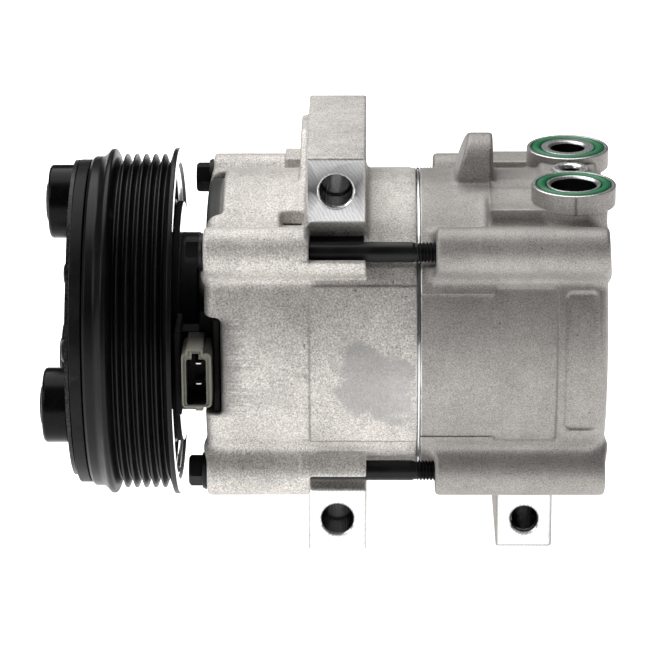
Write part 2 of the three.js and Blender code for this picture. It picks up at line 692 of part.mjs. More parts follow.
compressor.add(
  mesh('pulley', pulley(), BLACK_PAINT),
  mesh('bearing_outer_race', race(24.9, 27.3, 24.9, false), STEEL),
  mesh('bearing_inner_race', race(20.3, 22.1, 22.1, true), STEEL),
  mesh('bearing_ball_cage', ballCage(), STEEL),
  mesh('bearing_retaining_ring', ring(12.3, 13.4, 19, 23), STEEL),
  mesh('field_coil', fieldCoil(), COPPER_COIL),
  mesh('coil_retaining_ring', ring(41.8, 42.8, 19, 24), STEEL),
  mesh('coil_connector', connector(), CONNECTOR_PLASTIC),
  mesh('armature_plate', armature(), BLACK_STEEL),
  mesh('drive_hub', driveHub(), BLACK_PAINT),
  mesh('hub_bolt', hubBolt(), STEEL),
);

TERMINAL_Z.forEach((z, i) => {
  const blade = block([51, 53.3], [-58.5, -46.9], [z - 0.4, z + 0.4]);
  compressor.add(mesh(`connector_terminal_${i + 1}`, blade, TINNED));
});

DAMPER_ANGLES.forEach((angle, i) => {
  const [y, z] = around(DAMPER_R, angle);
  place(mesh(`damper_cup_${i + 1}`, damperCup(), BLACK_PAINT), 0, y, z);
  place(mesh(`damper_rubber_${i + 1}`, damperRubber(), RUBBER), 0, y, z);
  place(mesh(`damper_pin_${i + 1}`, damperPin(), BLACK_STEEL), 0, y, z);
});

place(mesh('suction_port_seal', portSeal(), GREEN_RUBBER), PORT_X, -PORT_Y, PORT_Z - 0.6);
place(mesh('discharge_port_seal', portSeal(), GREEN_RUBBER), PORT_X, PORT_Y, PORT_Z - 0.6);

export default compressor;
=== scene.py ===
"""Automotive air-conditioning compressor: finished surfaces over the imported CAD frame.

Shapes are worked out in millimetres in the part's frame: +X rearwards along the shaft from the hub
bolt's front face, +Z up, coil connector towards -Y. make_mesh() and net_mesh() turn them into metres.
"""

import json
import math

import bmesh
import bpy
import numpy as np
from mathutils import Matrix, Vector


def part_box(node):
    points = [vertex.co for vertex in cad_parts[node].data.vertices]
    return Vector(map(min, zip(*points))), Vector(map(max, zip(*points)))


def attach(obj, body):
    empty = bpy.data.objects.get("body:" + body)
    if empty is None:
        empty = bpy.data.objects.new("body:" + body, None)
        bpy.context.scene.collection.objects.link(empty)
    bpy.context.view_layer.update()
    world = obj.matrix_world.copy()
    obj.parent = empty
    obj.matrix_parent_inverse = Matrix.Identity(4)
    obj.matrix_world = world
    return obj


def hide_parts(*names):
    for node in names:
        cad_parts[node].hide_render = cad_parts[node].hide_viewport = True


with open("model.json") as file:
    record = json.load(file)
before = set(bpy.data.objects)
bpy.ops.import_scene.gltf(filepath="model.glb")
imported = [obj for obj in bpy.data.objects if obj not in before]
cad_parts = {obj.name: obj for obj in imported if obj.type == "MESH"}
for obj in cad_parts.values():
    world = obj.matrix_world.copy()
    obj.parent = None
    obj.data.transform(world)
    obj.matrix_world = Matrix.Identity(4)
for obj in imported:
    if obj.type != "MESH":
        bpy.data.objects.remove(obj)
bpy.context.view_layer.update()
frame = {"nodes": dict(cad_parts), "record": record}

MM = 0.001
NODES = frame["nodes"]
BODIES = frame["record"]["behaviour"]["bodies"]
BODY_OF = {name: body for body, names in BODIES.items() for name in names}
SLOT_OF = {part["node"]: part["material_slot"] for part in frame["record"]["subparts"]}


def span(name, axis):
    """Lowest and highest place of a CAD node along an axis, in millimetres."""
    low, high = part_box(name)
    return low[axis] / MM, high[axis] / MM


# ---- sizes and places

FRONT_X = 54.0
SEAM_FRONT = span("front_housing", 0)[1]
SEAM_REAR = span("rear_housing", 0)[0]
SEAM_X = (SEAM_FRONT + SEAM_REAR) / 2
REAR_X = 201.5
BODY_R = 58.0
SHELL_R = 53.8
BOLT_CIRCLE_R = 61.8
BOLT_ANGLES = (44, 136, 224, 316)
BOLT_R = 3.75
BOLT_HOLE_R = 4.4
BOLT_BOSS_R = 9.2
BOSS_GAP = 1.3
FRONT_BOSS_END = 92.3
REAR_BOSS_START = 138.5
CHANNEL_R = 5.0
LIP_Z = 42.0
EAR_Y = 40.0
EAR_HOLE_Z = 64.8
EAR_ROOT_Z = 44
FRONT_EAR = (91.3, 113.0)
REAR_EAR = (161.6, 182.5)
FRONT_EAR_TIP = 77.4
REAR_EAR_TIP = 75.9
FRONT_HOLE_X = 102.2
REAR_HOLE_X = 172.2
FRONT_MOUTH_R = 6.1
REAR_MOUTH_R = 5.3
HOLLOW_X = 102.4
PANEL_X = 92.4
PANEL_Z = (-28.8, 31.5)
NOTCH_Z = (-15.7, 20.2)
HUB_RECESS = (20, 34)
RIM_RECESS = (37.5, 50)
LUG_X = (146.6, 160.2)
LEDGE_Y = -34
PORT_X = 189.3
PORT_Y = 22.6
PORT_Z = 62.0
PORT_R = 15.5
PORT_RIM = 54.6
SEAL_GROOVE = (10.0, 14.0)
THREAD_R = 3.4
DAMPER_ANGLES = (82.2, 202.2, 322.2)
DAMPER_R = 46.1

# Each port: side of the shaft, radius of its bore and of its duct, height of the duct's end.
PORTS = {"suction": (-1, 8.4, 5.2, 40), "discharge": (1, 6.5, 4, 25)}


def around(radius, degrees):
    angle = math.radians(degrees)
    return radius * math.cos(angle), radius * math.sin(angle)


BOLT_PLACES = [around(BOLT_CIRCLE_R, a) for a in BOLT_ANGLES]

# ---- solids as distance fields


def union(a, b, blend=1.0):
    near = np.maximum(blend - np.abs(a - b), 0) / blend
    return np.minimum(a, b) - near * near * blend / 4


def both(a, b, blend=1.0):
    return -union(-a, -b, blend)


def minus(a, b, blend=1.0):
    return both(a, -b, blend)


def slab(value, ends):
    """How far a value is outside the stretch between two ends."""
    return np.abs(value - (ends[0] + ends[1]) / 2) - (ends[1] - ends[0]) / 2


def rod(p, axis, ends, centre, radius, blend=1.0):
    """A round bar along an axis. centre gives its place on the other two axes, in their order."""
    u, v = [i for i in range(3) if i != axis]
    across = np.hypot(p[u] - centre[0], p[v] - centre[1]) - radius
    return both(across, slab(p[axis], ends), blend)


def brick(p, xs, ys, zs, edge=0.8):
    """A block with rounded edges."""
    q = [slab(p[i], ends) + edge for i, ends in enumerate((xs, ys, zs))]
    outside = np.sqrt(sum(np.maximum(d, 0) ** 2 for d in q))
    return outside + np.minimum(np.maximum(np.maximum(q[0], q[1]), q[2]), 0) - edge


def sleeve(p, ends, inner, outer, blend=1.0):
    """A ring about the shaft line."""
    r = np.hypot(p[1], p[2])
    return both(np.maximum(r - outer, inner - r), slab(p[0], ends), blend)


SAFE_REACH = 1.15
BATCH = 1_500_000


def sampled(field, low, high, step, coarse=4):
    """The field on a grid of cell centres, worked out in full only near the surface."""
    low, high = np.array(low, float), np.array(high, float)
    count = np.ceil((high - low) / (step * coarse)).astype(int)
    axes = [low[i] + step * coarse * (np.arange(count[i]) + 0.5) for i in range(3)]
    grid = np.stack([g.ravel() for g in np.meshgrid(*axes, indexing="ij")]).astype(np.float32)
    rough = field(grid).reshape(count)
    near = np.abs(rough) < step * coarse * SAFE_REACH
    full = rough.astype(np.float32)
    for axis in range(3):
        full = np.repeat(full, coarse, axis)
        near = np.repeat(near, coarse, axis)
    at = np.nonzero(near)
    for start in range(0, len(at[0]), BATCH):
        part = tuple(a[start : start + BATCH] for a in at)
        points = np.stack([low[i] + step * (part[i] + 0.5) for i in range(3)]).astype(np.float32)
        full[part] = field(points)
    return full, low + step / 2


def net(field, low, high, step):
    """A closed mesh over the surface where the field is zero: one corner per crossed cell."""
    values, origin = sampled(field, low, high, step)
    stride = np.array([values.shape[1] * values.shape[2], values.shape[2], 1])
    loops, places = [], []
    for axis in range(3):
        first, second = [slice(None)] * 3, [slice(None)] * 3
        first[axis], second[axis] = slice(0, -1), slice(1, None)
        at = np.argwhere((values[tuple(first)] < 0) != (values[tuple(second)] < 0))
        ahead = at.copy()
        ahead[:, axis] += 1
        a, b = values[tuple(at.T)], values[tuple(ahead.T)]
        crossing = at.astype(float)
        crossing[:, axis] += a / (a - b)
        u, v = stride[(axis + 1) % 3], stride[(axis + 2) % 3]
        cell = at @ stride
        quad = np.stack([cell - u - v, cell - v, cell, cell - u], 1)
        quad[a >= 0] = quad[a >= 0][:, ::-1]
        loops.append(quad)
        places.append(crossing)
    loops = np.concatenate(loops)
    places = np.repeat(np.concatenate(places), 4, axis=0)
    _, index = np.unique(loops.ravel(), return_inverse=True)
    count = np.bincount(index)
    points = np.stack([np.bincount(index, places[:, k]) / count for k in range(3)], 1)
    points = origin + step * points
    for _ in range(2):
        points = settled(field, points, step)
    return points, index.reshape(-1, 4)


def settled(field, points, step):
    """The points moved onto the surface along the field's slope."""
    eps = 0.05
    p = points.T.astype(np.float64)
    value = field(p)
    slope = []
    for axis in range(3):
        q = p.copy()
        q[axis] += eps
        slope.append((field(q) - value) / eps)
    slope = np.stack(slope)
    length = np.maximum((slope**2).sum(0), 0.25)
    shift = np.clip(value / length, -step / 2, step / 2) * slope
    return points - shift.T


# ---- turned and flat solids


def softened(points, radius):
    """An outline whose corners are rounded. A point may carry its own radius as a third number."""
    out = []
    last = len(points) - 1
    for i, point in enumerate(points):
        here = np.array(point[:2], float)
        size = point[2] if len(point) > 2 else radius
        if i in (0, last) or size <= 0:
            out.append(here)
            continue
        before = np.array(points[i - 1][:2], float) - here
        after = np.array(points[i + 1][:2], float) - here
        reach = min(size, 0.42 * np.linalg.norm(before), 0.42 * np.linalg.norm(after))
        start = here + before / np.linalg.norm(before) * reach
        end = here + after / np.linalg.norm(after) * reach
        for t in (0, 0.25, 0.5, 0.75, 1):
            out.append((1 - t) ** 2 * start + 2 * t * (1 - t) * here + t * t * end)
    return out


def turned(profile, segments=160, radius=0.3, axis=0, centre=(0, 0)):
    """A solid turned about a line along an axis, from (place along it, radius) points."""
    ring = profile[0][1] > 0 or profile[-1][1] > 0
    if ring:
        middle = [(a + b) / 2 for a, b in zip(profile[-1][:2], profile[0][:2])]
        outline = softened([middle, *profile, middle], radius)[:-1]
    else:
        outline = softened(profile, radius)
    points, faces = [], []
    angles = np.arange(segments) * 2 * math.pi / segments
    rows = []
    for place, r in outline:
        if r < 1e-6:
            rows.append([len(points)])
            points.append((place, 0.0, 0.0))
        else:
            rows.append(list(range(len(points), len(points) + segments)))
            points += [(place, r * math.cos(a), r * math.sin(a)) for a in angles]
    pairs = list(zip(rows, rows[1:])) + ([(rows[-1], rows[0])] if ring else [])
    for a, b in pairs:
        for k in range(segments):
            n = (k + 1) % segments
            if len(a) == 1:
                faces.append((a[0], b[n], b[k]))
            elif len(b) == 1:
                faces.append((a[k], a[n], b[0]))
            else:
                faces.append((a[k], a[n], b[n], b[k]))
    points = np.roll(np.array(points), axis, 1)
    points[:, [i for i in range(3) if i != axis]] += centre
    return points, faces


def flat(outline, x0, x1):
    """A plate between two stations from a closed outline of (y, z) points."""
    n = len(outline)
    points = [(x, y, z) for x in (x0, x1) for y, z in outline]
    faces = [tuple(range(n)), tuple(range(2 * n - 1, n - 1, -1))]
    faces += [((k + 1) % n, k, n + k, n + (k + 1) % n) for k in range(n)]
    return np.array(points, float), faces


def smoothed(mesh, sharp):
    """Smooth shading, with edges sharper than this many degrees kept crisp."""
    mesh.shade_smooth()
    mesh.set_sharp_from_angle(angle=math.radians(sharp))


def make_mesh(name, solids, sharp, bevel):
    """One mesh, in metres, from closed solids of (points, faces) in millimetres."""
    points, faces = [], []
    for corners, loops in solids:
        start = sum(len(p) for p in points)
        points.append(np.asarray(corners, float))
        faces += [tuple(start + int(i) for i in loop) for loop in loops]
    mesh = bpy.data.meshes.new(name)
    mesh.from_pydata((np.concatenate(points) * MM).tolist(), [], faces)
    made = bmesh.new()
    made.from_mesh(mesh)
    bmesh.ops.recalc_face_normals(made, faces=made.faces)
    if bevel:
        corner = math.radians(40)
        edges = [e for e in made.edges if e.is_manifold and e.calc_face_angle(0) > corner]
        bmesh.ops.bevel(
            made, geom=edges, offset=bevel * MM, segments=3, profile=0.5,
            affect="EDGES", clamp_overlap=True,
        )
    made.to_mesh(mesh)
    made.free()
    smoothed(mesh, sharp)
    return mesh


def net_mesh(name, points, quads, most_triangles, sharp=60):
    """One mesh from a net, thinned out to a number of triangles."""
    mesh = bpy.data.meshes.new(name)
    mesh.vertices.add(len(points))
    mesh.vertices.foreach_set("co", (points * MM).astype(np.float32).ravel())
    mesh.loops.add(quads.size)
    mesh.loops.foreach_set("vertex_index", quads.astype(np.int32).ravel())
    mesh.polygons.add(len(quads))
    mesh.polygons.foreach_set("loop_start", np.arange(0, quads.size, 4, dtype=np.int32))
    mesh.update(calc_edges=True)
    mesh.validate()
    smoothed(mesh, sharp)
    triangles = 2 * len(mesh.polygons)
    if triangles > most_triangles:
        whole = bpy.data.objects.new(name, mesh)
        bpy.context.scene.collection.objects.link(whole)
        whole.modifiers.new("thinner", "DECIMATE").ratio = most_triangles / triangles
        bpy.context.view_layer.update()
        thinned = whole.evaluated_get(bpy.context.evaluated_depsgraph_get())
        mesh = bpy.data.meshes.new_from_object(thinned)
        bpy.data.objects.remove(whole)
        smoothed(mesh, sharp)
    return mesh


FINISHED = set()


def added(name, part, mesh):
    """A finished detail in a CAD node's body and material slot, which doesn't stand for the node."""
    thing = bpy.data.objects.new("finished_" + name, mesh)
    bpy.context.scene.collection.objects.link(thing)
    mesh.materials.append(LOOKS[SLOT_OF[part]])
    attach(thing, BODY_OF[part])
    return thing


def net_piece(name, field, low, high, step, most_triangles):
    """A finished piece from a distance field, which stands for a CAD node."""
    points, quads = net(field, low, high, step)
    thing = added(name, name, net_mesh("shape_" + name, points, quads, most_triangles))
    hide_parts(name)
    FINISHED.add(name)
    return thing


def detail(name, part, solids, sharp=38, bevel=0.0):
    """A detail made of solids."""
    thing = added(name, part, make_mesh("shape_" + name, solids, sharp, bevel))
    thing.modifiers.new("even", "WEIGHTED_NORMAL").keep_sharp = True
    return thing


def piece(name, solids, sharp=38, bevel=0.0):
    """A finished piece made of solids, which stands for a CAD node."""
    thing = detail(name, name, solids, sharp, bevel)
    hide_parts(name)
    FINISHED.add(name)
    return thing


def between(value, none, full):
    """0 where the value is at none, 1 where it is at full, and even in between."""
    return np.clip((value - none) / (full - none), 0, 1)


def mark(thing, name, rule, by="POINT"):
    """Keeps a number from 0 to 1 at each corner, or face, of the mesh for a finish to read."""
    mesh = thing.data
    places, key = (mesh.vertices, "co") if by == "POINT" else (mesh.polygons, "center")
    co = np.zeros(len(places) * 3, np.float32)
    places.foreach_get(key, co)
    values = rule(co.reshape(-1, 3).T / MM).astype(np.float32)
    mesh.attributes.new(name, "FLOAT", by).data.foreach_set("value", values)


# ---- finishes


def feed(tree, socket, value):
    """Gives a socket its value, or links it to another node's output."""
    if isinstance(value, bpy.types.NodeSocket):
        tree.links.new(value, socket)
    else:
        socket.default_value = value


def node(tree, kind, inputs=None, **settings):
    made = tree.nodes.new("ShaderNode" + kind)
    for key, value in settings.items():
        setattr(made, key, value)
    for key, value in (inputs or {}).items():
        feed(tree, made.inputs[key], value)
    return made


def maths(tree, operation, a, b=0.0):
    return node(tree, "Math", {0: a, 1: b}, operation=operation).outputs[0]


def times(tree, a, b):
    return maths(tree, "MULTIPLY", a, b)


def plus(tree, a, b):
    return maths(tree, "ADD", a, b)


def weighed(tree, *shares):
    """The sum of (number, weight) pairs."""
    total = None
    for value, weight in shares:
        share = times(tree, value, weight)
        total = share if total is None else plus(tree, total, share)
    return total


def noise(tree, where, size, detail=3.0, rough=0.55):
    """Noise whose features are about this many millimetres across."""
    inputs = {"Vector": where, "Scale": 1 / (size * MM), "Detail": detail, "Roughness": rough}
    return node(tree, "TexNoise", inputs).outputs["Fac"]


def ranged(tree, value, low, high, to_low=0.0, to_high=1.0):
    inputs = {"Value": value, "From Min": low, "From Max": high, "To Min": to_low, "To Max": to_high}
    return node(tree, "MapRange", inputs, clamp=True).outputs[0]


def mask(tree, name):
    return node(tree, "Attribute", attribute_name=name).outputs["Fac"]


def between_two(tree, kind, data_type, factor, a, b):
    made = node(tree, "Mix", data_type=data_type, clamp_factor=True)
    sockets = {s.identifier: s for s in made.inputs}
    for key, value in (("Factor_Float", factor), ("A_" + kind, a), ("B_" + kind, b)):
        feed(tree, sockets[key], value)
    return next(s for s in made.outputs if s.identifier == "Result_" + kind)


def blended(tree, factor, a, b):
    """A colour between two colours."""
    return between_two(tree, "Color", "RGBA", factor, a, b)


def mixed(tree, factor, a, b):
    """A number between two numbers."""
    return between_two(tree, "Float", "FLOAT", factor, a, b)


def grey(value, warm=0.0):
    return (value * (1 + warm), value, value * (1 - warm), 1)


def new_finish(name):
    look = bpy.data.materials.new(name)
    look.use_nodes = True
    tree = look.node_tree
    where = tree.nodes.new("ShaderNodeTexCoord").outputs["Object"]
    return look, tree, tree.nodes["Principled BSDF"], where


def finish_with(tree, shader, colour, roughness, bumps, metallic):
    feed(tree, shader.inputs["Base Color"], colour)
    feed(tree, shader.inputs["Roughness"], roughness)
    feed(tree, shader.inputs["Metallic"], metallic)
    for height, depth in bumps:
        inputs = {"Height": height, "Strength": 1.0, "Distance": depth * MM}
        if shader.inputs["Normal"].is_linked:
            inputs["Normal"] = shader.inputs["Normal"].links[0].from_socket
        tree.links.new(node(tree, "Bump", inputs).outputs[0], shader.inputs["Normal"])


def simple(
    name, dark, light, roughness, metallic, grain, depth, patches,
    wear=0.0, shine=0.5, polish=(0.14, 0.22),
):
    """A finish with fine grain and slow patches, worn corners, bare areas by mask, and painted shade by
    mask.
    """
    look, tree, shader, where = new_finish(name)
    fine = noise(tree, where, grain, 4)
    slow = noise(tree, where, patches, 3)
    tone = weighed(tree, (fine, 0.5), (slow, 0.5))
    colour = blended(tree, ranged(tree, tone, 0.38, 0.62), dark, light)
    rough = ranged(tree, slow, 0.3, 0.7, roughness - 0.06, roughness + 0.07)
    if wear:
        edge = node(tree, "NewGeometry").outputs["Pointiness"]
        worn = times(tree, ranged(tree, edge, 0.53, 0.6), ranged(tree, fine, 0.4, 0.7))
        colour = blended(tree, times(tree, worn, wear), colour, grey(0.32))
    shader.inputs["Specular IOR Level"].default_value = shine
    bare = mask(tree, "machined")
    metal_colour = blended(tree, ranged(tree, slow, 0.3, 0.7), grey(0.74), grey(0.86))
    colour = blended(tree, bare, colour, metal_colour)
    rough = mixed(tree, bare, rough, ranged(tree, fine, 0.3, 0.7, *polish))
    # Painted shade: where the 'shaded' mask is set, the colour goes nearly black and the surface rough, so
    # it shows no highlight.
    shaded = mask(tree, "shaded")
    colour = blended(tree, shaded, colour, grey(0.004))
    rough = mixed(tree, shaded, rough, 0.9)
    finish_with(tree, shader, colour, rough, [(fine, depth)], mixed(tree, bare, metallic, 1.0))
    return look


def stain(tree, where, centre, half, tilt, strength):
    """How strongly a place is stained: a ragged patch on the near side, which leans by tilt."""
    x, y, z = node(tree, "SeparateXYZ", {0: where}).outputs
    dx = maths(tree, "SUBTRACT", x, centre[0] * MM)
    dz = maths(tree, "SUBTRACT", z, centre[1] * MM)
    dz = maths(tree, "SUBTRACT", dz, times(tree, dx, tilt))
    total = 0.0
    for offset, size in ((dx, half[0]), (dz, half[1])):
        share = maths(tree, "ABSOLUTE", maths(tree, "DIVIDE", offset, size * MM))
        total = plus(tree, total, maths(tree, "POWER", share, 4.0))
    wobble = maths(tree, "SUBTRACT", noise(tree, where, 7, 2), 0.5)
    far = plus(tree, maths(tree, "POWER", total, 0.25), times(tree, wobble, 1.1))
    amount = ranged(tree, far, 0.85, 1.1, strength, 0.0)
    return times(tree, amount, ranged(tree, y, -45 * MM, -50 * MM))


def cutter_rings(tree, where, scale, distortion, detail_scale):
    """Rings about a line across the shaft, as a face mill leaves them."""
    inputs = {
        "Vector": where, "Scale": scale, "Distortion": distortion, "Detail": 2.0,
        "Detail Scale": detail_scale,
    }
    return node(tree, "TexWave", inputs, wave_type="RINGS", rings_direction="Y").outputs["Fac"]


def cast(name, dark, light, roughness, grain, depth, stains):
    """Blasted die-cast aluminium, with machined areas by mask, painted shade by mask and smooth stained
    patches.
    """
    look, tree, shader, where = new_finish(name)
    fine = noise(tree, where, grain, 2, 0.6)
    finer = noise(tree, where, grain * 0.45, 1)
    speckle = weighed(tree, (fine, 0.6), (finer, 0.4))
    slow = noise(tree, where, 26, 4)
    tone = weighed(tree, (speckle, 0.76), (slow, 0.15), (noise(tree, where, 5, 3), 0.09))
    colour = blended(tree, ranged(tree, tone, 0.4, 0.6), dark, light)
    pits = ranged(tree, noise(tree, where, 1.1, 1), 0.72, 0.76, 0.0, 0.7)
    colour = blended(tree, pits, colour, grey(0.08))
    rough = ranged(tree, speckle, 0.35, 0.65, roughness - 0.07, roughness + 0.07)
    if stains:
        stained = 0.0
        for patch in stains:
            stained = maths(tree, "MAXIMUM", stained, stain(tree, where, *patch))
        patchy = blended(tree, ranged(tree, slow, 0.3, 0.7), grey(0.28, 0.02), grey(0.34, 0.02))
        colour = blended(tree, stained, colour, patchy)
        rough = mixed(tree, stained, rough, roughness - 0.12)
    machined = mask(tree, "machined")
    arcs = cutter_rings(tree, where, 900.0, 2.0, 4.0)
    sweeps = cutter_rings(tree, where, 240.0, 5.0, 1.5)
    colour = blended(tree, machined, colour, blended(tree, sweeps, grey(0.72), grey(0.9)))
    rough = mixed(tree, machined, rough, ranged(tree, arcs, 0.0, 1.0, 0.24, 0.34))
    bumps = [(mixed(tree, machined, speckle, 0.5), depth), (times(tree, arcs, machined), 0.004)]
    # Painted shade and painted reflection: where the 'shaded' mask is set, the colour goes dark.
    colour = blended(tree, mask(tree, "shaded"), colour, grey(0.035))
    finish_with(tree, shader, colour, rough, bumps, mixed(tree, machined, 0.55, 1.0))
    return look


# Each stained patch: centre and half size along the shaft and up, lean, strength.
FRONT_STAINS = [((115.5, -3.0), (13.5, 14.0), -0.35, 0.7), ((77.0, -9.5), (8.5, 4.0), 0.0, 0.22)]
# Dark and light colour, roughness, metallic, grain, its depth, patches; then anything unusual.
FINISHES = {
    "machined": (grey(0.62), grey(0.8), 0.3, 1.0, 0.5, 0.004, 30),
    "steel": (grey(0.45), grey(0.6), 0.33, 1.0, 0.4, 0.004, 18),
    "black_bolt": (grey(0.005), grey(0.012), 0.34, 0.2, 0.5, 0.008, 9, {"shine": 0.22}),
    "black_paint": (
        grey(0.003), grey(0.007), 0.34, 0.0, 0.9, 0.006, 16,
        {"wear": 0.2, "shine": 0.15, "polish": (0.04, 0.07)},
    ),
    "black_gloss": (grey(0.002), grey(0.004), 0.24, 0.0, 1.2, 0.006, 12, {"shine": 0.1}),
    "armature_steel": (
        grey(0.006), grey(0.014), 0.4, 0.0, 0.5, 0.01, 9, {"wear": 0.1, "shine": 0.08},
    ),
    "coil": (grey(0.002), grey(0.005), 0.6, 0.0, 0.8, 0.01, 12, {"shine": 0.1}),
    "damper_rubber": (grey(0.008), grey(0.016), 0.75, 0.0, 0.7, 0.02, 10),
    "seal_rubber": (grey(0.01), grey(0.022), 0.6, 0.0, 0.6, 0.01, 8),
    "green_seal": ((0.004, 0.13, 0.045, 1), (0.008, 0.2, 0.075, 1), 0.42, 0.0, 0.7, 0.006, 9),
    "connector": ((0.14, 0.135, 0.107, 1), (0.2, 0.195, 0.156, 1), 0.5, 0.0, 0.6, 0.01, 7),
    "tinned": (grey(0.6), grey(0.75), 0.28, 1.0, 0.4, 0.004, 6),
}
LOOKS = {
    "cast_front": cast("cast_front", grey(0.3, 0.05), grey(0.8, 0.05), 0.6, 0.62, 0.06, FRONT_STAINS),
    "cast_rear": cast("cast_rear", grey(0.2, 0.055), grey(0.44, 0.055), 0.56, 0.5, 0.035, []),
}
for name, values in FINISHES.items():
    unusual = values[7] if len(values) > 7 else {}
    LOOKS[name] = simple(name, *values[:7], **unusual)

# ---- housings


def ear_hole(p, x, z, radius, counterbore, depth):
    """A bolt hole across the shaft line, with a wider mouth towards -Y and broken edges."""
    across = np.hypot(p[0] - x, p[2] - z)
    mouth = counterbore + np.clip(0.55 - (p[1] + EAR_Y), 0, 0.55)
    plain = radius + np.clip(0.5 - (EAR_Y - p[1]), 0, 0.5)
    near = both(across - mouth, p[1] - (depth - EAR_Y), 0.3)
    return np.minimum(across - plain, near)


def bolt_bosses(p, body, stations, blend):
    for place in BOLT_PLACES:
        body = union(body, rod(p, 0, stations, place, BOLT_BOSS_R, 2.0), blend)
    return body


def bolt_holes(p, body, hole, channel):
    for place in BOLT_PLACES:
        body = minus(body, rod(p, 0, hole, place, BOLT_HOLE_R, 0.4), 0.8)
        body = minus(body, rod(p, 0, channel, place, CHANNEL_R, 0.8), 1.2)
    return body


def front_ear(p, side):
    heights = sorted((EAR_ROOT_Z * side, FRONT_EAR_TIP * side))
    body = brick(p, FRONT_EAR, (-EAR_Y, EAR_Y), heights, 0.7)
    for y, z in BOLT_PLACES:
        if z * side > 0:
            room = rod(p, 0, (FRONT_EAR[0] - 3, FRONT_EAR[1] + 3), (y, z), BOLT_BOSS_R + BOSS_GAP, 0.5)
            body = minus(body, room, 1.0)
    return body


def front_body(p):
    """The front housing's drum with its bosses, ears, rib and block, still solid."""
    x, y, z = p
    r = np.hypot(y, z)
    body = both(r - BODY_R, FRONT_X - x, 6.0)
    body = both(body, x - SEAM_FRONT, 0.6)
    top_step = both(54.0 - r, x - 60.0, 1.0)
    top_step = both(top_step, np.abs(y + 1) - 24.5, 2.0)
    body = minus(body, both(top_step, -z, 2.0), 2.0)
    body = bolt_bosses(p, body, (FRONT_X, FRONT_BOSS_END), 5.5)
    for side in (-1, 1):
        body = union(body, front_ear(p, side), 3.0)
    rib = brick(p, (88.3, PANEL_X), (-12, 38), (48, 70.2), 1.0)
    rib = both(rib, (y - 18) * -0.441 + (z - 70.2) * 0.897, 0.8)
    body = union(body, rib, 2.0)
    body = union(body, brick(p, (81.7, 88.5), (31, 45), (EAR_ROOT_Z, 54.6), 0.8), 0.8)
    for place in BOLT_PLACES:
        lip = rod(p, 0, (FRONT_BOSS_END - 3, FRONT_EAR[1]), place, BOLT_BOSS_R, 0.8)
        lip = both(lip, np.abs(z) - LIP_Z, 0.6)
        body = union(body, lip, 1.6)
    return body


def front_bores(p, body):
    """The front housing's cavity, the recesses in its end wall and the bore of its nose."""
    body = minus(body, rod(p, 0, (79.8, SEAM_FRONT + 4), (0, 0), SHELL_R, 0.8), 0.8)
    for recess in (HUB_RECESS, RIM_RECESS):
        body = minus(body, sleeve(p, (67, 83), *recess, 3.0), 0.8)
    body = minus(body, rod(p, 0, (0, 40), (0, 0), 12.6, 0.4), 0.6)
    body = minus(body, rod(p, 0, (21.9, 23.7), (0, 0), 14, 0.2), 0.3)
    body = minus(body, rod(p, 0, (30, 90), (0, 0), 11, 0.4), 0.6)
    for ends in ((12, 13.7), (41.5, 43.1)):
        body = minus(body, sleeve(p, ends, 18.7, 22, 0.2), 0.3)
    return body


def front_housing(p):
    x, y, z = p
    r = np.hypot(y, z)
    body = front_body(p)
    panel = brick(p, (PANEL_X, SEAM_FRONT + 2), (-70, -30), PANEL_Z, 1.6)
    body = union(body, both(both(r - (BODY_R + 0.5), panel, 0.3), x - SEAM_FRONT, 0.3), 0.3)
    notch = brick(p, (FRONT_X - 5, 60.1), (-75, -44.5), (NOTCH_Z[0] - 0.3, NOTCH_Z[1] + 0.3), 1.5)
    body = minus(body, notch, 1.2)
    pocket = brick(p, (81.5, 90.3), (-37, -25.5), (47.4, 60), 1.2)
    body = minus(body, pocket, 1.2)
    hub = rod(p, 0, (46, FRONT_X + 3), (0, 0), 24, 0.8)
    snout = rod(p, 0, (11, FRONT_X), (0, 0), 20, 1.0)
    body = union(body, union(hub, snout, 1.0), 1.5)
    for cy, cz in BOLT_PLACES:
        hollow = both(np.hypot(y - cy, z - cz) - (BOLT_BOSS_R + BOSS_GAP), 55.2 - r, 0.4)
        hollow = both(hollow, np.abs(x - HOLLOW_X) - 9.9, 0.4)
        body = minus(body, both(hollow, LIP_Z - np.abs(z), 0.4), 0.4)
    body = bolt_holes(p, body, (FRONT_X - 4, FRONT_BOSS_END + 3), (FRONT_BOSS_END, SEAM_FRONT + 4))
    for side in (-1, 1):
        hole = ear_hole(p, FRONT_HOLE_X, side * EAR_HOLE_Z, 5.5, FRONT_MOUTH_R, 14)
        body = minus(body, hole, 0.3)
    return front_bores(p, body)


def rear_panel_outline(x, z):
    """How far a place on the near side is outside the sunken panel."""
    wide = np.maximum(np.abs(x - 157.2) - 25.1, np.abs(z - 0.9) - 27.4)
    right = np.maximum(np.abs(x - 171.35) - 10.95, np.abs(z - 1.25) - 29.75)
    return union(wide, right, 1.6)


def lifting_lug(p):
    """An upright tab with a round top and a sloping front face."""
    lug = brick(p, LUG_X, (-8.2, 14), (50, 64), 1.0)
    lug = union(lug, rod(p, 0, LUG_X, (2.9, 62.2), 11.1, 1.4), 0.2)
    return both(lug, (p[0] - 147.4) * -0.955 + (p[2] - 62.0) * 0.297, 1.2)


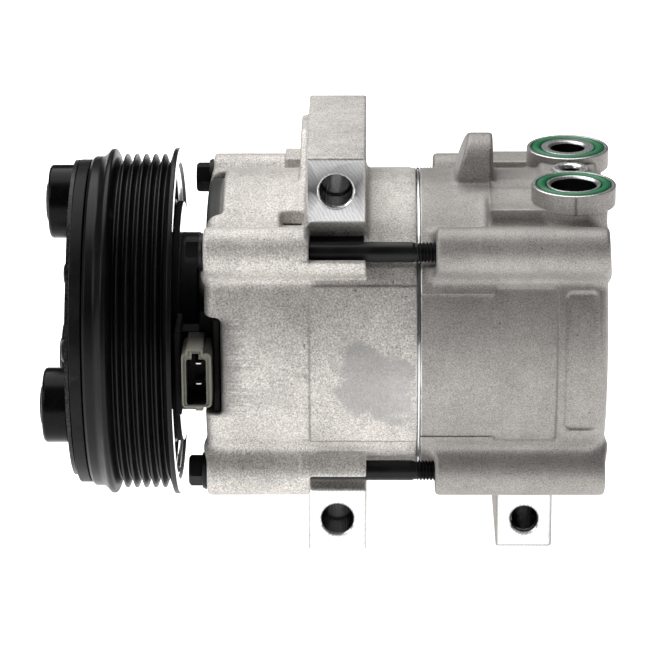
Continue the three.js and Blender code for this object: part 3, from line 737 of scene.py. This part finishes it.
def rear_body(p):
    """The rear housing's drum with all that stands on it, still solid."""
    x, y, z = p
    r = np.hypot(y, z)
    body = both(r - BODY_R, x - REAR_X, 8.0)
    body = both(body, SEAM_REAR - x, 0.6)
    far_side = np.where(y < 0, 0.0, 20.0)
    panel = both(rear_panel_outline(x, z) + far_side, 57.45 - r, 0.3)
    body = minus(body, panel, 0.5)
    recess = brick(p, (186.0, 197.4), (-70, -40), (-23, 29), 2.5)
    body = minus(body, both(recess, 56.7 - r, 1.0), 1.6)
    raised = both(brick(p, (159.4, 196), (LEDGE_Y, -5), (40, 70), 0.6), r - 58.6, 0.4)
    body = union(body, raised, 0.5)
    body = bolt_bosses(p, body, (REAR_BOSS_START, REAR_X), 5.5)
    ear = brick(p, REAR_EAR, (-EAR_Y, EAR_Y), (-REAR_EAR_TIP, -EAR_ROOT_Z), 0.9)
    body = union(body, ear, 2.5)
    body = union(body, brick(p, (158.4, 192), (LEDGE_Y, -15), (44, 55.6), 0.8), 5.0)
    body = union(body, brick(p, (160, 178), (30, 44), (44, 53.7), 0.9), 1.8)
    body = union(body, lifting_lug(p), 2.2)
    body = union(body, brick(p, (178, REAR_X - 2), (-20, 20), (46, 59.5), 1.5), 2.5)
    for side, *_ in PORTS.values():
        foot = rod(p, 2, (34, PORT_RIM + 0.3), (PORT_X, side * PORT_Y), PORT_R - 0.25, 0.5)
        body = union(body, both(foot, x - REAR_X, 1.0), 2.2)
    return union(body, rod(p, 2, (46, PORT_Z - 1), (PORT_X, 0), 7, 0.6), 1.5)


def rear_housing(p):
    x, y, z = p
    body = rear_body(p)
    body = bolt_holes(p, body, (REAR_BOSS_START - 3, REAR_X - 12), (SEAM_REAR - 4, REAR_BOSS_START))
    body = minus(body, ear_hole(p, REAR_HOLE_X, -EAR_HOLE_Z, 4.7, REAR_MOUTH_R, 2), 0.4)
    countersink = np.clip(z - (PORT_Z - 2.0), 0, 1.4)
    thread = np.hypot(x - PORT_X, y) - THREAD_R - countersink
    body = minus(body, both(thread, 49 - z, 0.3), 0.3)
    for side, radius, duct_r, bottom in PORTS.values():
        from_port = np.hypot(x - PORT_X, y - side * PORT_Y)
        body = minus(body, both(from_port - radius - 0.2, 52 - z, 0.6), 0.4)
        duct = rod(p, 2, (bottom, 54), (PORT_X + 1, side * PORT_Y), duct_r, 0.5)
        body = minus(body, duct, 0.8)
    body = minus(body, rod(p, 0, (SEAM_REAR - 4, 184.9), (0, 0), SHELL_R, 0.8), 0.8)
    body = minus(body, rod(p, 0, (182, 197.7), (0, 0), HUB_RECESS[1], 3.0), 0.8)
    return minus(body, sleeve(p, (182, 197.7), *RIM_RECESS, 3.0), 0.8)


def ear_faces(p):
    """The cut faces at both ends of the ears."""
    y, z = np.abs(p[1]), np.abs(p[2])
    return between(y, EAR_Y - 0.12, EAR_Y - 0.03) * (y < EAR_Y + 0.2) * (z > 45)


def front_machined(p):
    x, y, z = p
    faces = ear_faces(p) * (x > 90) * (x < 114)
    bores = (np.hypot(x - FRONT_HOLE_X, np.abs(z) - EAR_HOLE_Z) < 7.0) * 1.0
    snout = (np.hypot(y, z) < 24.5) * (x < 53) * 1.0
    seam = between(x, SEAM_FRONT - 0.5, SEAM_FRONT - 0.2)
    return np.maximum.reduce([faces, bores, snout, seam])


def near_line(distance, width, strength):
    return strength * np.exp(-((distance / width) ** 2))


def ear_face_painted_reflection(p):
    """Painted reflection: the dark band that the upper front ear's cut face mirrors, by height."""
    x, y, z = p
    heights = (52.0, 60.8, 62.4, 63.8, 66.6, 69.0, 73.0, 76.2, 76.9)
    shade = np.interp(z, heights, (0.44, 0.5, 0.74, 0.97, 0.95, 0.86, 0.78, 0.66, 0.0))
    on_face = between(y, 0.12 - EAR_Y, 0.03 - EAR_Y)
    return shade * (z > 50) * (x > 90.6) * (x < 113.6) * on_face


def front_shaded(p):
    """Painted shade on the casting: behind the clutch, by the notch, in bores and hollows, along panel
    edges and the seam, with the ear's painted reflection.
    """
    x, y, z = p
    r = np.hypot(y, z)
    hub = between(53.4 - x, 0, 0.3) * (r < 36)
    step = between(r, 55.8, 54.6) * (np.abs(y + 1) < 25.5) * (z > 0) * between(x, 61.5, 58.5)
    from_hole = np.hypot(x - FRONT_HOLE_X, np.abs(z) - EAR_HOLE_Z)
    bores = (from_hole < FRONT_MOUTH_R + 0.3) * (np.abs(y) < EAR_Y - 0.6) * 0.68
    notch = between(x, 64.0, 60.6) * between(z, -17.5, -14.5) * between(z, 22, 19)
    notch = notch * (y < -30) * (r > 50) * 0.9
    away = np.min([np.hypot(y - cy, z - cz) for cy, cz in BOLT_PLACES], axis=0)
    hollow = (np.abs(x - HOLLOW_X) < 10.2) * (r < 57.4) * (r > 54.5)
    hollow = hollow * (away < BOLT_BOSS_R + BOSS_GAP + 0.1) * 1.0
    side = np.maximum(PANEL_X - x, np.maximum(PANEL_Z[0] - z, z - PANEL_Z[1]))
    line = near_line(side, 0.4, 0.55) * (y < -30) * (r > 56) * (x < SEAM_FRONT)
    groove = near_line(x - SEAM_FRONT, 0.5, 0.6)
    return np.maximum.reduce([hub, step, bores, hollow, line, groove, ear_face_painted_reflection(p), notch])


def rear_machined(p):
    x, y, z = p
    faces = ear_faces(p) * (z < 0)
    bores = (np.hypot(x - REAR_HOLE_X, -z - EAR_HOLE_Z) < 6.0) * 1.0
    manifold = (np.hypot(x - PORT_X, y) < 6.3) * (z > 48) * 1.0
    seam = between(-x, -SEAM_REAR - 0.5, -SEAM_REAR - 0.2)
    return np.maximum.reduce([faces, bores, manifold, seam])


def rear_shaded(p):
    """Painted shade on the casting: in bores and ports, along panel edges and parting lines, and at the
    ledge's step.
    """
    x, y, z = p
    from_hole = np.hypot(x - REAR_HOLE_X, -z - EAR_HOLE_Z)
    bores = (from_hole < REAR_MOUTH_R) * (np.abs(y) < EAR_Y - 0.5) * 0.8
    from_port = np.hypot(x - PORT_X, np.abs(y) - PORT_Y)
    ports = (from_port < 9.1) * between(z, PORT_RIM + 0.5, PORT_RIM) * (z > 20)
    thread = (np.hypot(x - PORT_X, y) < 4.2) * between(z, PORT_Z - 1.6, PORT_Z - 2.6) * (z > 20)
    line = near_line(rear_panel_outline(x, z), 0.4, 0.5) * (y < -30)
    parting = near_line(x - 160.6, 0.4, 0.4) * (y < -30) * (z > 31) * (z < 52)
    step = near_line(x - 159.2, 0.4, 0.6) * (y > LEDGE_Y) * (y < -5) * (z > 46)
    return np.maximum.reduce([bores, ports * 0.93, thread * 0.95, line, parting, step])


FINE = 0.62
HOUSING_FACES = 195_000
HOUSINGS = {
    "front_housing": (front_housing, (9, -71.5, -78.5), (134, 71.5, 78.5)),
    "rear_housing": (rear_housing, (130.5, -71.5, -78.5), (206.5, 71.5, 77.5)),
}
MASKS = {
    "front_housing": (front_machined, front_shaded),
    "rear_housing": (rear_machined, rear_shaded),
}
for name, field_and_room in HOUSINGS.items():
    housing = net_piece(name, *field_and_room, FINE, HOUSING_FACES)
    mark(housing, "machined", MASKS[name][0])
    mark(housing, "shaded", MASKS[name][1])


def port_rim(radius, side):
    """The machined disc on top of a port: bore, seal groove and outer rim."""
    inner, outer = SEAL_GROOVE
    groove_z = PORT_Z - 2.2
    profile = [
        (PORT_RIM - 1.0, radius), (PORT_Z - 0.8, radius), (PORT_Z, radius + 0.8), (PORT_Z, inner),
        (groove_z, inner), (groove_z, outer), (PORT_Z, outer), (PORT_Z, PORT_R, 0.5),
        (PORT_RIM, PORT_R, 0.4), (PORT_RIM - 0.2, PORT_R - 1.0), (PORT_RIM - 1.0, PORT_R - 1.0),
    ]
    return turned(profile, 192, 0.15, 2, (PORT_X, side * PORT_Y))


def rim_machined(p):
    return (np.hypot(p[0] - PORT_X, np.abs(p[1]) - PORT_Y) < PORT_R - 0.12) * 1.0


# Painted shade in the port's bore and a painted dark line along the ring's parting line.
def rim_shaded(p):
    from_port = np.hypot(p[0] - PORT_X, np.abs(p[1]) - PORT_Y)
    bore = (from_port < 9.5) * between(p[2], PORT_Z - 0.7, PORT_Z - 1.0) * 0.93
    parting = near_line(p[0] - PORT_X, 0.5, 0.7) * (p[2] < PORT_Z - 1.5) * (from_port > 15)
    return np.maximum(bore, parting)


for name, (side, radius, *_) in PORTS.items():
    rim = detail(name + "_port_rim", "rear_housing", [port_rim(radius, side)], 30)
    mark(rim, "machined", rim_machined, "FACE")
    mark(rim, "shaded", rim_shaded, "FACE")


def hole_rim(x, z, mouth):
    """The broken edge round the mouth of an ear's hole."""
    inner, outer = mouth - 0.03, mouth + 0.65
    profile = [
        (-EAR_Y - 0.03, outer), (-EAR_Y - 0.03, mouth + 0.5), (0.5 - EAR_Y, inner),
        (1.5 - EAR_Y, inner), (1.5 - EAR_Y, outer),
    ]
    return turned(profile, 128, 0.05, 1, (x, z))


def everywhere(p):
    return np.ones(p.shape[1])


HOLES = {
    "front_upper": ("front_housing", FRONT_HOLE_X, EAR_HOLE_Z, FRONT_MOUTH_R),
    "front_lower": ("front_housing", FRONT_HOLE_X, -EAR_HOLE_Z, FRONT_MOUTH_R),
    "rear_lower": ("rear_housing", REAR_HOLE_X, -EAR_HOLE_Z, REAR_MOUTH_R),
}
for name, (housing, x, z, mouth) in HOLES.items():
    mark(detail(name + "_hole_rim", housing, [hole_rim(x, z, mouth)], 30), "machined", everywhere, "FACE")

# ---- clutch

GROOVE_PITCH = 3.56
GROOVE_COUNT = 6
FIRST_VALLEY = 20.8
RIB_TIP_R = 63.4
RIB_VALLEY_R = 60.0
FLANGE_R = span("pulley", 2)[1]
PULLEY_REAR = 42.5
ROTOR_REAR = 40.8
COIL_PLATE = (41.4, 43.9)
FRICTION_X = 9.8
ARMATURE = (5.0, 9.3)
ARMATURE_R = span("armature_plate", 2)[1]
HUB_PLATE = (3.3, 4.7)
CUP_R = 13.9
CUP_FRONT = -6.1
PIN_FRONT = -7.3
RIVET_R = 17.9
BALL_PITCH_R = 23.5
RETAINING_RINGS = {
    "bearing_retaining_ring": (12.3, 13.4, 19, 23),
    "coil_retaining_ring": (41.8, 42.8, 19, 24),
    "seal_retaining_ring": (22.2, 23.4, 10.4, 13.6, 24),
}


def pulley_shape():
    ribs = []
    for i in range(GROOVE_COUNT):
        valley = FIRST_VALLEY + i * GROOVE_PITCH
        ribs += [(valley - 0.35, RIB_VALLEY_R, 0.3), (valley + 0.35, RIB_VALLEY_R, 0.3)]
        if i < GROOVE_COUNT - 1:
            tip = valley + GROOVE_PITCH / 2
            ribs += [(tip - 0.3, RIB_TIP_R, 0.35), (tip + 0.3, RIB_TIP_R, 0.35)]
    profile = [
        (FRICTION_X, 24), (FRICTION_X, 61.6), (10.8, 62.5), (14, 62.5, 0.8), (15.7, 63.9, 0.8),
        (16.8, FLANGE_R - 0.2, 0.7), (18.4, FLANGE_R - 0.2, 0.7), (19.2, 63.9, 0.4), *ribs,
        (40.4, 64.4, 0.5), (40.8, FLANGE_R, 0.4), (PULLEY_REAR, FLANGE_R, 0.4), (PULLEY_REAR, 60, 0.3),
        (40.5, 58.6, 1.0), (18, 58, 2.0), (18, 46.2, 2.0), (ROTOR_REAR, 46.2, 0.5),
        (ROTOR_REAR, 43.6, 0.3), (15.5, 43.6, 1.0), (15.5, 30.6, 1.0), (40, 30.6), (40, 27.6),
        (13.7, 27.6), (13.7, 24),
    ]
    return turned(profile, 256, 0.25)


def pulley_machined(p):
    """The bare face of the rear flange and the wall inside it."""
    r = np.hypot(p[1], p[2])
    flange = (p[0] > PULLEY_REAR - 0.01) & (r > 60)
    wall = (p[0] > 30) & (r > 57) & (r < 59.15)
    return (flange | wall) * 1.0


def pierced_ring(x0, x1, inner, outer, windows, segments=240):
    """A flat ring with windows cut through it: (inner radius, outer radius, from angle, to angle)."""
    radii = sorted({inner, outer, *[w[0] for w in windows], *[w[1] for w in windows]})
    turn = 360 / segments
    solid = np.ones((len(radii) - 1, segments), bool)
    for low, high, first, last in windows:
        for j in range(len(radii) - 1):
            if low <= (radii[j] + radii[j + 1]) / 2 <= high:
                for k in range(int(first / turn), int(last / turn)):
                    solid[j, k % segments] = False
    places, faces = {}, []

    def corner(x, j, k):
        return places.setdefault((x, j, k % segments), len(places))

    for j, k in zip(*np.nonzero(solid)):
        for x, order in ((x0, 1), (x1, -1)):
            quad = [corner(x, j, k), corner(x, j + 1, k), corner(x, j + 1, k + 1), corner(x, j, k + 1)]
            faces.append(tuple(quad[::order]))
        sides = (
            (j == 0 or not solid[j - 1, k], (j, k), (j, k + 1)),
            (j == len(radii) - 2 or not solid[j + 1, k], (j + 1, k + 1), (j + 1, k)),
            (not solid[j, (k - 1) % segments], (j + 1, k), (j, k)),
            (not solid[j, (k + 1) % segments], (j, k + 1), (j + 1, k + 1)),
        )
        for open_side, a, b in sides:
            if open_side:
                faces.append((corner(x0, *a), corner(x0, *b), corner(x1, *b), corner(x1, *a)))
    points = np.zeros((len(places), 3))
    for (x, j, k), at in places.items():
        points[at] = (x, *around(radii[j], k * turn))
    return points, faces


def hub_outline():
    """The hub plate: three broad lobes that reach round the dampers."""
    outline = []
    for turn in np.arange(0, 360, 1.5):
        away = min(abs((turn - a + 180) % 360 - 180) for a in DAMPER_ANGLES)
        reach = ARMATURE_R - 11 * (1 - math.cos(math.radians(away)))
        outline.append(around(reach, turn))
    return outline


def stacked(rings, ends):
    """A solid from rings of corners, one after another, with a corner at each end."""
    count, segments, _ = rings.shape
    points = np.concatenate([rings.reshape(-1, 3), ends])
    last = (count - 1) * segments
    faces = []
    for k in range(segments):
        n = (k + 1) % segments
        for row in range(0, last, segments):
            faces.append((row + k, row + n, row + segments + n, row + segments + k))
        faces += [(len(points) - 2, n, k), (len(points) - 1, last + k, last + n)]
    return points, faces


def ring_of(x, reach, angles, centre):
    """Corners round a line along X."""
    y, z = centre[0] + reach * np.cos(angles), centre[1] + reach * np.sin(angles)
    return np.stack([np.full(len(angles), x), y, z], -1)


def hexagon(x0, x1, corner_r, chamfer, centre=(0, 0), segments=72):
    """A six-sided head along X whose x0 end is chamfered."""
    angles = np.arange(segments) * 2 * math.pi / segments
    from_corner = math.pi / 6 - np.abs((angles + math.pi / 6) % (math.pi / 3) - math.pi / 6)
    flats = corner_r * math.cos(math.pi / 6) / np.cos(from_corner)
    rings = []
    for part, share in ((0, 0.84), (0.33, 0.9), (0.66, 0.95), (1, 1), (None, 1)):
        x = x1 if part is None else x0 + chamfer * part
        reach = np.minimum(flats, corner_r * share)
        rings.append(ring_of(x, reach, angles, centre))
    return stacked(np.array(rings), [(x0, *centre), (x1, *centre)])


def threaded(x0, x1, radius, pitch, depth, centre=(0, 0), segments=40):
    """A right-hand thread as one winding surface with flat ends."""
    angles = np.arange(segments) * 2 * math.pi / segments
    rings = []
    for x in np.linspace(x0, x1, int((x1 - x0) / pitch * 8)):
        phase = (x / pitch - angles / (2 * math.pi)) % 1
        wave = np.clip(np.abs(phase - 0.5) * 4 - 1, -0.75, 0.75) / 0.75
        fade = min((x - x0) / pitch, (x1 - x) / pitch, 1)
        reach = radius - depth / 2 * (2 - fade - wave * fade)
        rings.append(ring_of(x, reach, angles, centre))
    return stacked(np.array(rings), [(x0, *centre), (x1, *centre)])


def box_shape(xs, ys, zs, edge=0.4, steps=4):
    """A block with round edges and corners."""
    ends = np.array([xs, ys, zs], float)
    middle = ends.mean(1)
    inner = (ends[:, 1] - ends[:, 0]) / 2 - edge
    turns = [(q, math.radians(q * 90 + 90 * s / steps)) for q in range(4) for s in range(steps + 1)]
    lifts = [(-1, math.radians(-90 + 90 * s / steps)) for s in range(steps + 1)]
    lifts += [(1, math.radians(90 * s / steps)) for s in range(steps + 1)]
    points = []
    for up, lift in lifts:
        for q, turn in turns:
            normal = (math.cos(lift) * math.cos(turn), math.cos(lift) * math.sin(turn), math.sin(lift))
            signs = (1 if q in (0, 3) else -1, 1 if q in (0, 1) else -1, up)
            points.append(middle + np.array(signs) * inner + edge * np.array(normal))
    _, first, index = np.unique(np.round(points, 5), axis=0, return_index=True, return_inverse=True)
    index = index.reshape(len(lifts), len(turns))
    loops = [index[0, ::-1], index[-1]]
    for row in range(len(lifts) - 1):
        for k in range(len(turns)):
            n = (k + 1) % len(turns)
            loops.append((index[row, k], index[row, n], index[row + 1, n], index[row + 1, k]))
    faces = []
    for loop in loops:
        corners = [int(v) for i, v in enumerate(loop) if v != loop[i - 1]]
        if len(corners) > 2:
            faces.append(tuple(corners))
    return np.array(points)[first], faces


def ball(radius, centre, segments=32):
    arc = [(centre[0] - radius * math.cos(t), radius * math.sin(t)) for t in np.linspace(0, math.pi, 13)]
    arc[0], arc[-1] = (centre[0] - radius, 0), (centre[0] + radius, 0)
    return turned(arc, segments, 0, 0, centre[1:])


def clip_ring(x0, x1, inner, outer, gap=16):
    """A retaining ring with a gap, in degrees, at its side."""
    turns = np.linspace(90 + gap / 2, 450 - gap / 2, 180)
    outline = [around(outer, t) for t in turns] + [around(inner, t) for t in turns[::-1]]
    return flat(outline, x0, x1)


def bearing_race(plain, face, dip):
    """A race with one ball groove: radius of its plain side, of its groove side and of the groove."""
    return turned([
        (14, plain), (14, face), (22.2, face), (23, dip, 0.8), (25, dip, 0.8), (25.8, face),
        (34, face), (34, plain),
    ], 128, 0.3)


mark(piece("pulley", [pulley_shape()], 45), "machined", pulley_machined, "FACE")
piece("bearing_outer_race", [bearing_race(27.3, 24.9, 25.5)])
piece("bearing_inner_race", [bearing_race(20.3, 22.1, 21.5)])
balls = [ball(1.3, (24, *around(BALL_PITCH_R, i * 45))) for i in range(8)]
cage = turned([(23, 23), (23, 24), (25, 24), (25, 23)], 96, 0.1)
piece("bearing_ball_cage", [cage, *balls])
for name, sizes in RETAINING_RINGS.items():
    piece(name, [clip_ring(*sizes)], bevel=0.12)

windows = []
for angle in DAMPER_ANGLES:
    windows += [(51.5, 53.5, angle + 18, angle + 102), (36, 38, angle + 24, angle + 96)]
piece("armature_plate", [pierced_ring(*ARMATURE, 20, ARMATURE_R, windows)], bevel=0.35)

hub = [
    flat(hub_outline(), *HUB_PLATE),
    turned([(5.6, 10), (0.4, 10), (0.4, 23.5, 0.8), (3.8, 26.5, 2.0), (4.6, 26.5), (5.6, 20)], 160, 0.3),
    turned([
        (5.5, 4.1), (5.5, 12.3), (10.6, 12.3), (10.8, 11.2), (20, 11.2), (20, 8.8), (7.7, 8.8), (7.7, 4.1),
    ], 96, 0.25),
]
rivet = [(-1.8, 0), (-1.8, 3.2, 0.9), (-0.9, 4.4, 0.9), (0.6, 4.4), (0.6, 0)]
for angle in DAMPER_ANGLES:
    hub.append(turned(rivet, 48, 0.2, 0, around(RIVET_R, angle - 3)))
piece("drive_hub", hub, 40)

bolt = [
    hexagon(0, 3.9, 7.2, 0.7),
    turned([(3.8, 0), (3.8, 9.3, 0.3), (5.2, 9.3), (5.2, 0)], 96, 0.25),
    threaded(5, 24, 3.7, 1.25, 0.7),
]
piece("hub_bolt", bolt, 30)

cup = [
    (CUP_FRONT, 8.1, 0.3), (CUP_FRONT, CUP_R - 0.9, 0.8), (CUP_FRONT + 0.9, CUP_R, 0.8),
    (1.6, CUP_R, 0.3), (3, CUP_R), (3, 12.4), (-4.6, 12.4, 1.0), (-4.6, 8.1, 0.2),
]
rubber = [(-4.3, 4.4), (-4.3, 12.1, 0.6), (2.7, 12.1, 0.6), (2.7, 4.4)]
pin = [
    (PIN_FRONT, 0), (PIN_FRONT, 6.9, 0.5), (PIN_FRONT + 0.8, 7.7, 0.5), (-5.1, 7.7, 0.2),
    (-5.1, 4, 0.3), (8.6, 4), (9, 3.6), (9, 0),
]
for i, angle in enumerate(DAMPER_ANGLES, 1):
    at = around(DAMPER_R, angle)
    piece(f"damper_cup_{i}", [turned(cup, 128, 0.3, 0, at)], 50)
    piece(f"damper_rubber_{i}", [turned(rubber, 96, 0.3, 0, at)])
    piece(f"damper_pin_{i}", [turned(pin, 96, 0.2, 0, at)], 50)

# ---- field coil and connector

PAD_Z = (-15.5, 17)
PAD_Y = -38
CONNECTOR_MOUTH_Y = -63.6
TERMINALS = ("connector_terminal_1", "connector_terminal_2")


def coil_shape():
    """The coil's case with its outer plate, the pad beside the connector and its cover."""
    # The black ring behind the plate, out to 33.7, is partly a dark part of the coil and partly a dark
    # body put in for the deep shade in the gap before the housing.
    case = turned([
        (17.3, 31.2), (17.3, 43), (COIL_PLATE[0], 43), (COIL_PLATE[0], 45.5, 0.5),
        (COIL_PLATE[1], 45.5, 0.6), (COIL_PLATE[1], 33.7), (50.4, 33.7, 0.8), (50.4, 24.6),
        (45.7, 24.6), (45.7, 20.4), (43.2, 20.4), (43.2, 31.2),
    ], 192, 0.3)
    # The black pad over the plate's near side is partly a black overmould block and partly a dark body put
    # in for the dark that the plate mirrors there.
    pad = [
        box_shape((43.2, 45.7), (-58, PAD_Y), PAD_Z, 0.7),
        box_shape((43.4, 53.4), (-46.3, PAD_Y), (-12, 13), 0.7),
    ]
    cover = [
        box_shape((57.3, 59.8), (-54, -44.8), NOTCH_Z, 0.7),
        box_shape((52, 59.8), (-46.3, -44.8), NOTCH_Z, 0.5),
    ]
    return [case, *pad, *cover]


def coil_machined(p):
    """The bare rear face of the coil's outer plate, clear of the pad."""
    r = np.hypot(p[1], p[2])
    clear = (p[1] > PAD_Y) | (p[2] > PAD_Z[1]) | (p[2] < PAD_Z[0])
    return (np.abs(p[0] - COIL_PLATE[1]) < 0.05) * (r > 33.9) * (r < 45.3) * clear * 1.0


def connector_outline(p):
    shell = brick(p, (46.1, 57.0), (-70, -40), (-10.2, 10.8), 1.7)
    rail = brick(p, (47.9, 54.1), (-70, -40), (5, 12.9), 0.9)
    return union(shell, rail, 0.5)


def connector_cavity(p):
    socket = brick(p, (47.9, 55.1), (-75, -52), (-9.0, 8.6), 0.9)
    return union(socket, brick(p, (50.0, 52.5), (-75, -52), (5, 10.9), 0.3), 0.3)


def connector(p):
    y = p[1]
    feet = brick(p, (50.9, 53.9), (-62.5, -54), (-12.1, -8), 0.5)
    feet = union(feet, brick(p, (47.4, 49.2), (-61, -52), (-11.3, -8), 0.4), 0.2)
    outline = connector_outline(p)
    body = both(union(outline, feet, 0.4), np.abs(y + 55.3) - 8.7, 0.5)
    body = minus(body, connector_cavity(p), 0.5)
    rebate = both(outline + 1.0, y - CONNECTOR_MOUTH_Y, 0.2)
    body = minus(body, both(rebate, -(connector_cavity(p) - 0.35), 0.2), 0.2)
    for name in TERMINALS:
        low, high = span(name, 2)
        body = minus(body, brick(p, (50.6, 53.7), (-53, -44), (low - 0.3, high + 0.3), 0.1), 0.2)
    return body


def connector_shaded(p):
    """Painted shade: in the socket, along the middle of its rim, towards the coil and on the shell's top
    beside the rail.
    """
    x, y, z = p
    outline = connector_outline(p)
    socket = (connector_cavity(p) < 0.3) * (y > CONNECTOR_MOUTH_Y) * 1.0
    rim = near_line(outline + 0.95, 0.35, 0.5) * (y < CONNECTOR_MOUTH_Y + 0.3)
    behind = between(y, -62.5, -52) * 0.8 * (outline > -0.6)
    beside = (x > 54.4) * (z > 4) * (y > CONNECTOR_MOUTH_Y + 0.4) * 0.8
    return np.maximum.reduce([socket, rim, behind, beside])


mark(piece("field_coil", coil_shape(), 40), "machined", coil_machined, "FACE")
SMALL = 0.22
shell = net_piece("coil_connector", connector, (45.2, -65, -13.2), (57.9, -45.7, 13.9), SMALL, 90_000)
mark(shell, "shaded", connector_shaded)
for name in TERMINALS:
    piece(name, [box_shape(span(name, 0), span(name, 1), span(name, 2), 0.3)])

# ---- bolts, gasket and port seals

washer = [(52.2, 0), (52.2, 6.6, 0.4), (53.7, 7.2, 0.3), (53.7, 0)]
shank = [(53.2, 0), (53.2, BOLT_R), (130, BOLT_R), (130.9, 3.4), (132, 3.3), (132, 0)]
for i, place in enumerate(BOLT_PLACES, 1):
    piece(f"through_bolt_{i}", [
        hexagon(47.2, 52.5, 5.8, 0.8, place),
        turned(washer, 64, 0.2, 0, place),
        turned(shank, 64, 0.2, 0, place),
        threaded(131.3, 188.5, 3.9, 1.25, 0.75, place),
    ], 30)


def gasket_reach(angle):
    """The gasket's outer radius, cut away round the bolts."""
    reach = 57.4
    for y, z in BOLT_PLACES:
        along = y * math.cos(angle) + z * math.sin(angle)
        miss = y * y + z * z - along * along
        if along > 0 and miss < CHANNEL_R**2:
            reach = min(reach, along - math.sqrt(CHANNEL_R**2 - miss))
    return reach


def gasket(count=720, inner=53.7):
    """A thin ring in the seam, as four corners at each of many angles."""
    points, faces = [], []
    front_x, rear_x = SEAM_X - 0.25, SEAM_X + 0.25
    for k in range(count):
        angle = 2 * math.pi * k / count
        outer = gasket_reach(angle)
        for x, r in ((front_x, inner), (front_x, outer), (rear_x, outer), (rear_x, inner)):
            points.append((x, r * math.cos(angle), r * math.sin(angle)))
        a, b = 4 * k, 4 * ((k + 1) % count)
        faces += [(a + i, b + i, b + (i + 1) % 4, a + (i + 1) % 4) for i in range(4)]
    return np.array(points), faces


piece("seam_gasket", [gasket()])

seal = [
    (PORT_Z - 0.75 + 1.2 * math.sin(t), 12.05 + 1.75 * math.cos(t))
    for t in np.linspace(0, 2 * math.pi, 24, endpoint=False)
]
for name, (side, *_) in PORTS.items():
    piece(name + "_port_seal", [turned(seal, 128, 0, 2, (PORT_X, side * PORT_Y))], 80)

# ---- the parts inside keep their CAD shape

for name, thing in NODES.items():
    if name in FINISHED:
        continue
    for slot in thing.material_slots:
        slot.material = LOOKS[SLOT_OF[name]]
    smoothed(thing.data, 32)
    rounded = thing.modifiers.new("rounded", "BEVEL")
    rounded.width = 0.12 * MM
    rounded.segments = 2
    rounded.limit_method = "ANGLE"
    rounded.angle_limit = math.radians(32)
    thing.modifiers.new("even", "WEIGHTED_NORMAL").keep_sharp = True

# ---- camera and studio

ELEVATION = math.radians(20.4)
AZIMUTH = math.radians(1.0)
DISTANCE = 1.3
LENS = 190.35
AIM_BEHIND_PULLEY = 70.35
AIM_BELOW_SHAFT = 1.14
FLOOR_HALF = 6.0
LAMPS = {
    "softbox_top": ((-0.3, 0.7, 1.9), 2.2, 48),
    "softbox_left": ((-1.3, -0.7, 1.0), 0.9, 9),
    "softbox_right": ((1.4, -1.0, 0.7), 0.7, 1),
}


def linked(name, data):
    thing = bpy.data.objects.new(name, data)
    bpy.context.scene.collection.objects.link(thing)
    return thing


def place_camera():
    back = Vector((
        math.sin(AZIMUTH) * math.cos(ELEVATION),
        -math.cos(AZIMUTH) * math.cos(ELEVATION),
        math.sin(ELEVATION),
    ))
    shaft = Vector((1, 0, 0))
    right = (shaft - back * shaft.dot(back)).normalized()
    up = back.cross(right)
    middle = Vector((sum(span("pulley", 0)) / 2 + AIM_BEHIND_PULLEY, 0, 0))
    target = (middle - up * AIM_BELOW_SHAFT) * MM
    camera = linked("camera", bpy.data.cameras.new("camera"))
    camera.data.lens = LENS
    camera.data.sensor_width = 36
    camera.data.dof.use_dof = False
    camera.data.clip_start = 0.05
    camera.data.clip_end = 30
    camera.matrix_world = Matrix((right, up, back)).transposed().to_4x4()
    camera.location = target + back * DISTANCE
    bpy.context.scene.camera = camera


def lay_floor():
    """A pale floor just below the compressor, which also lights it from below."""
    z = span("front_housing", 2)[0] * MM - 0.0004
    mesh = bpy.data.meshes.new("studio_floor")
    corners = [(x * FLOOR_HALF, y * FLOOR_HALF, z) for x, y in ((-1, -1), (1, -1), (1, 1), (-1, 1))]
    mesh.from_pydata(corners, [], [(0, 1, 2, 3)])
    look, _, shader, _ = new_finish("studio_floor")
    shader.inputs["Base Color"].default_value = grey(0.86)
    shader.inputs["Roughness"].default_value = 0.9
    shader.inputs["Emission Color"].default_value = grey(1.0)
    shader.inputs["Emission Strength"].default_value = 1.1
    mesh.materials.append(look)
    linked("studio_floor", mesh)


def light_studio():
    world = bpy.data.worlds.new("studio")
    world.use_nodes = True
    tree = world.node_tree
    ways = node(tree, "SeparateXYZ", {0: tree.nodes.new("ShaderNodeTexCoord").outputs["Generated"]})
    above = ranged(tree, ways.outputs[2], 0.0, 0.9, 0.85, 1.2)
    behind = ranged(tree, ways.outputs[1], -0.6, 0.5, 0.9, 1.35)
    tree.links.new(times(tree, above, behind), tree.nodes["Background"].inputs[1])
    bpy.context.scene.world = world
    for name, (place, size, power) in LAMPS.items():
        data = bpy.data.lights.new(name, "AREA")
        data.shape = "SQUARE"
        data.size = size
        data.energy = power
        lamp = linked(name, data)
        lamp.location = place
        lamp.rotation_mode = "QUATERNION"
        lamp.rotation_quaternion = (Vector((0.1, 0, 0)) - Vector(place)).to_track_quat("-Z", "Y")
    bpy.context.scene.view_settings.view_transform = "Standard"


place_camera()
lay_floor()
light_studio()
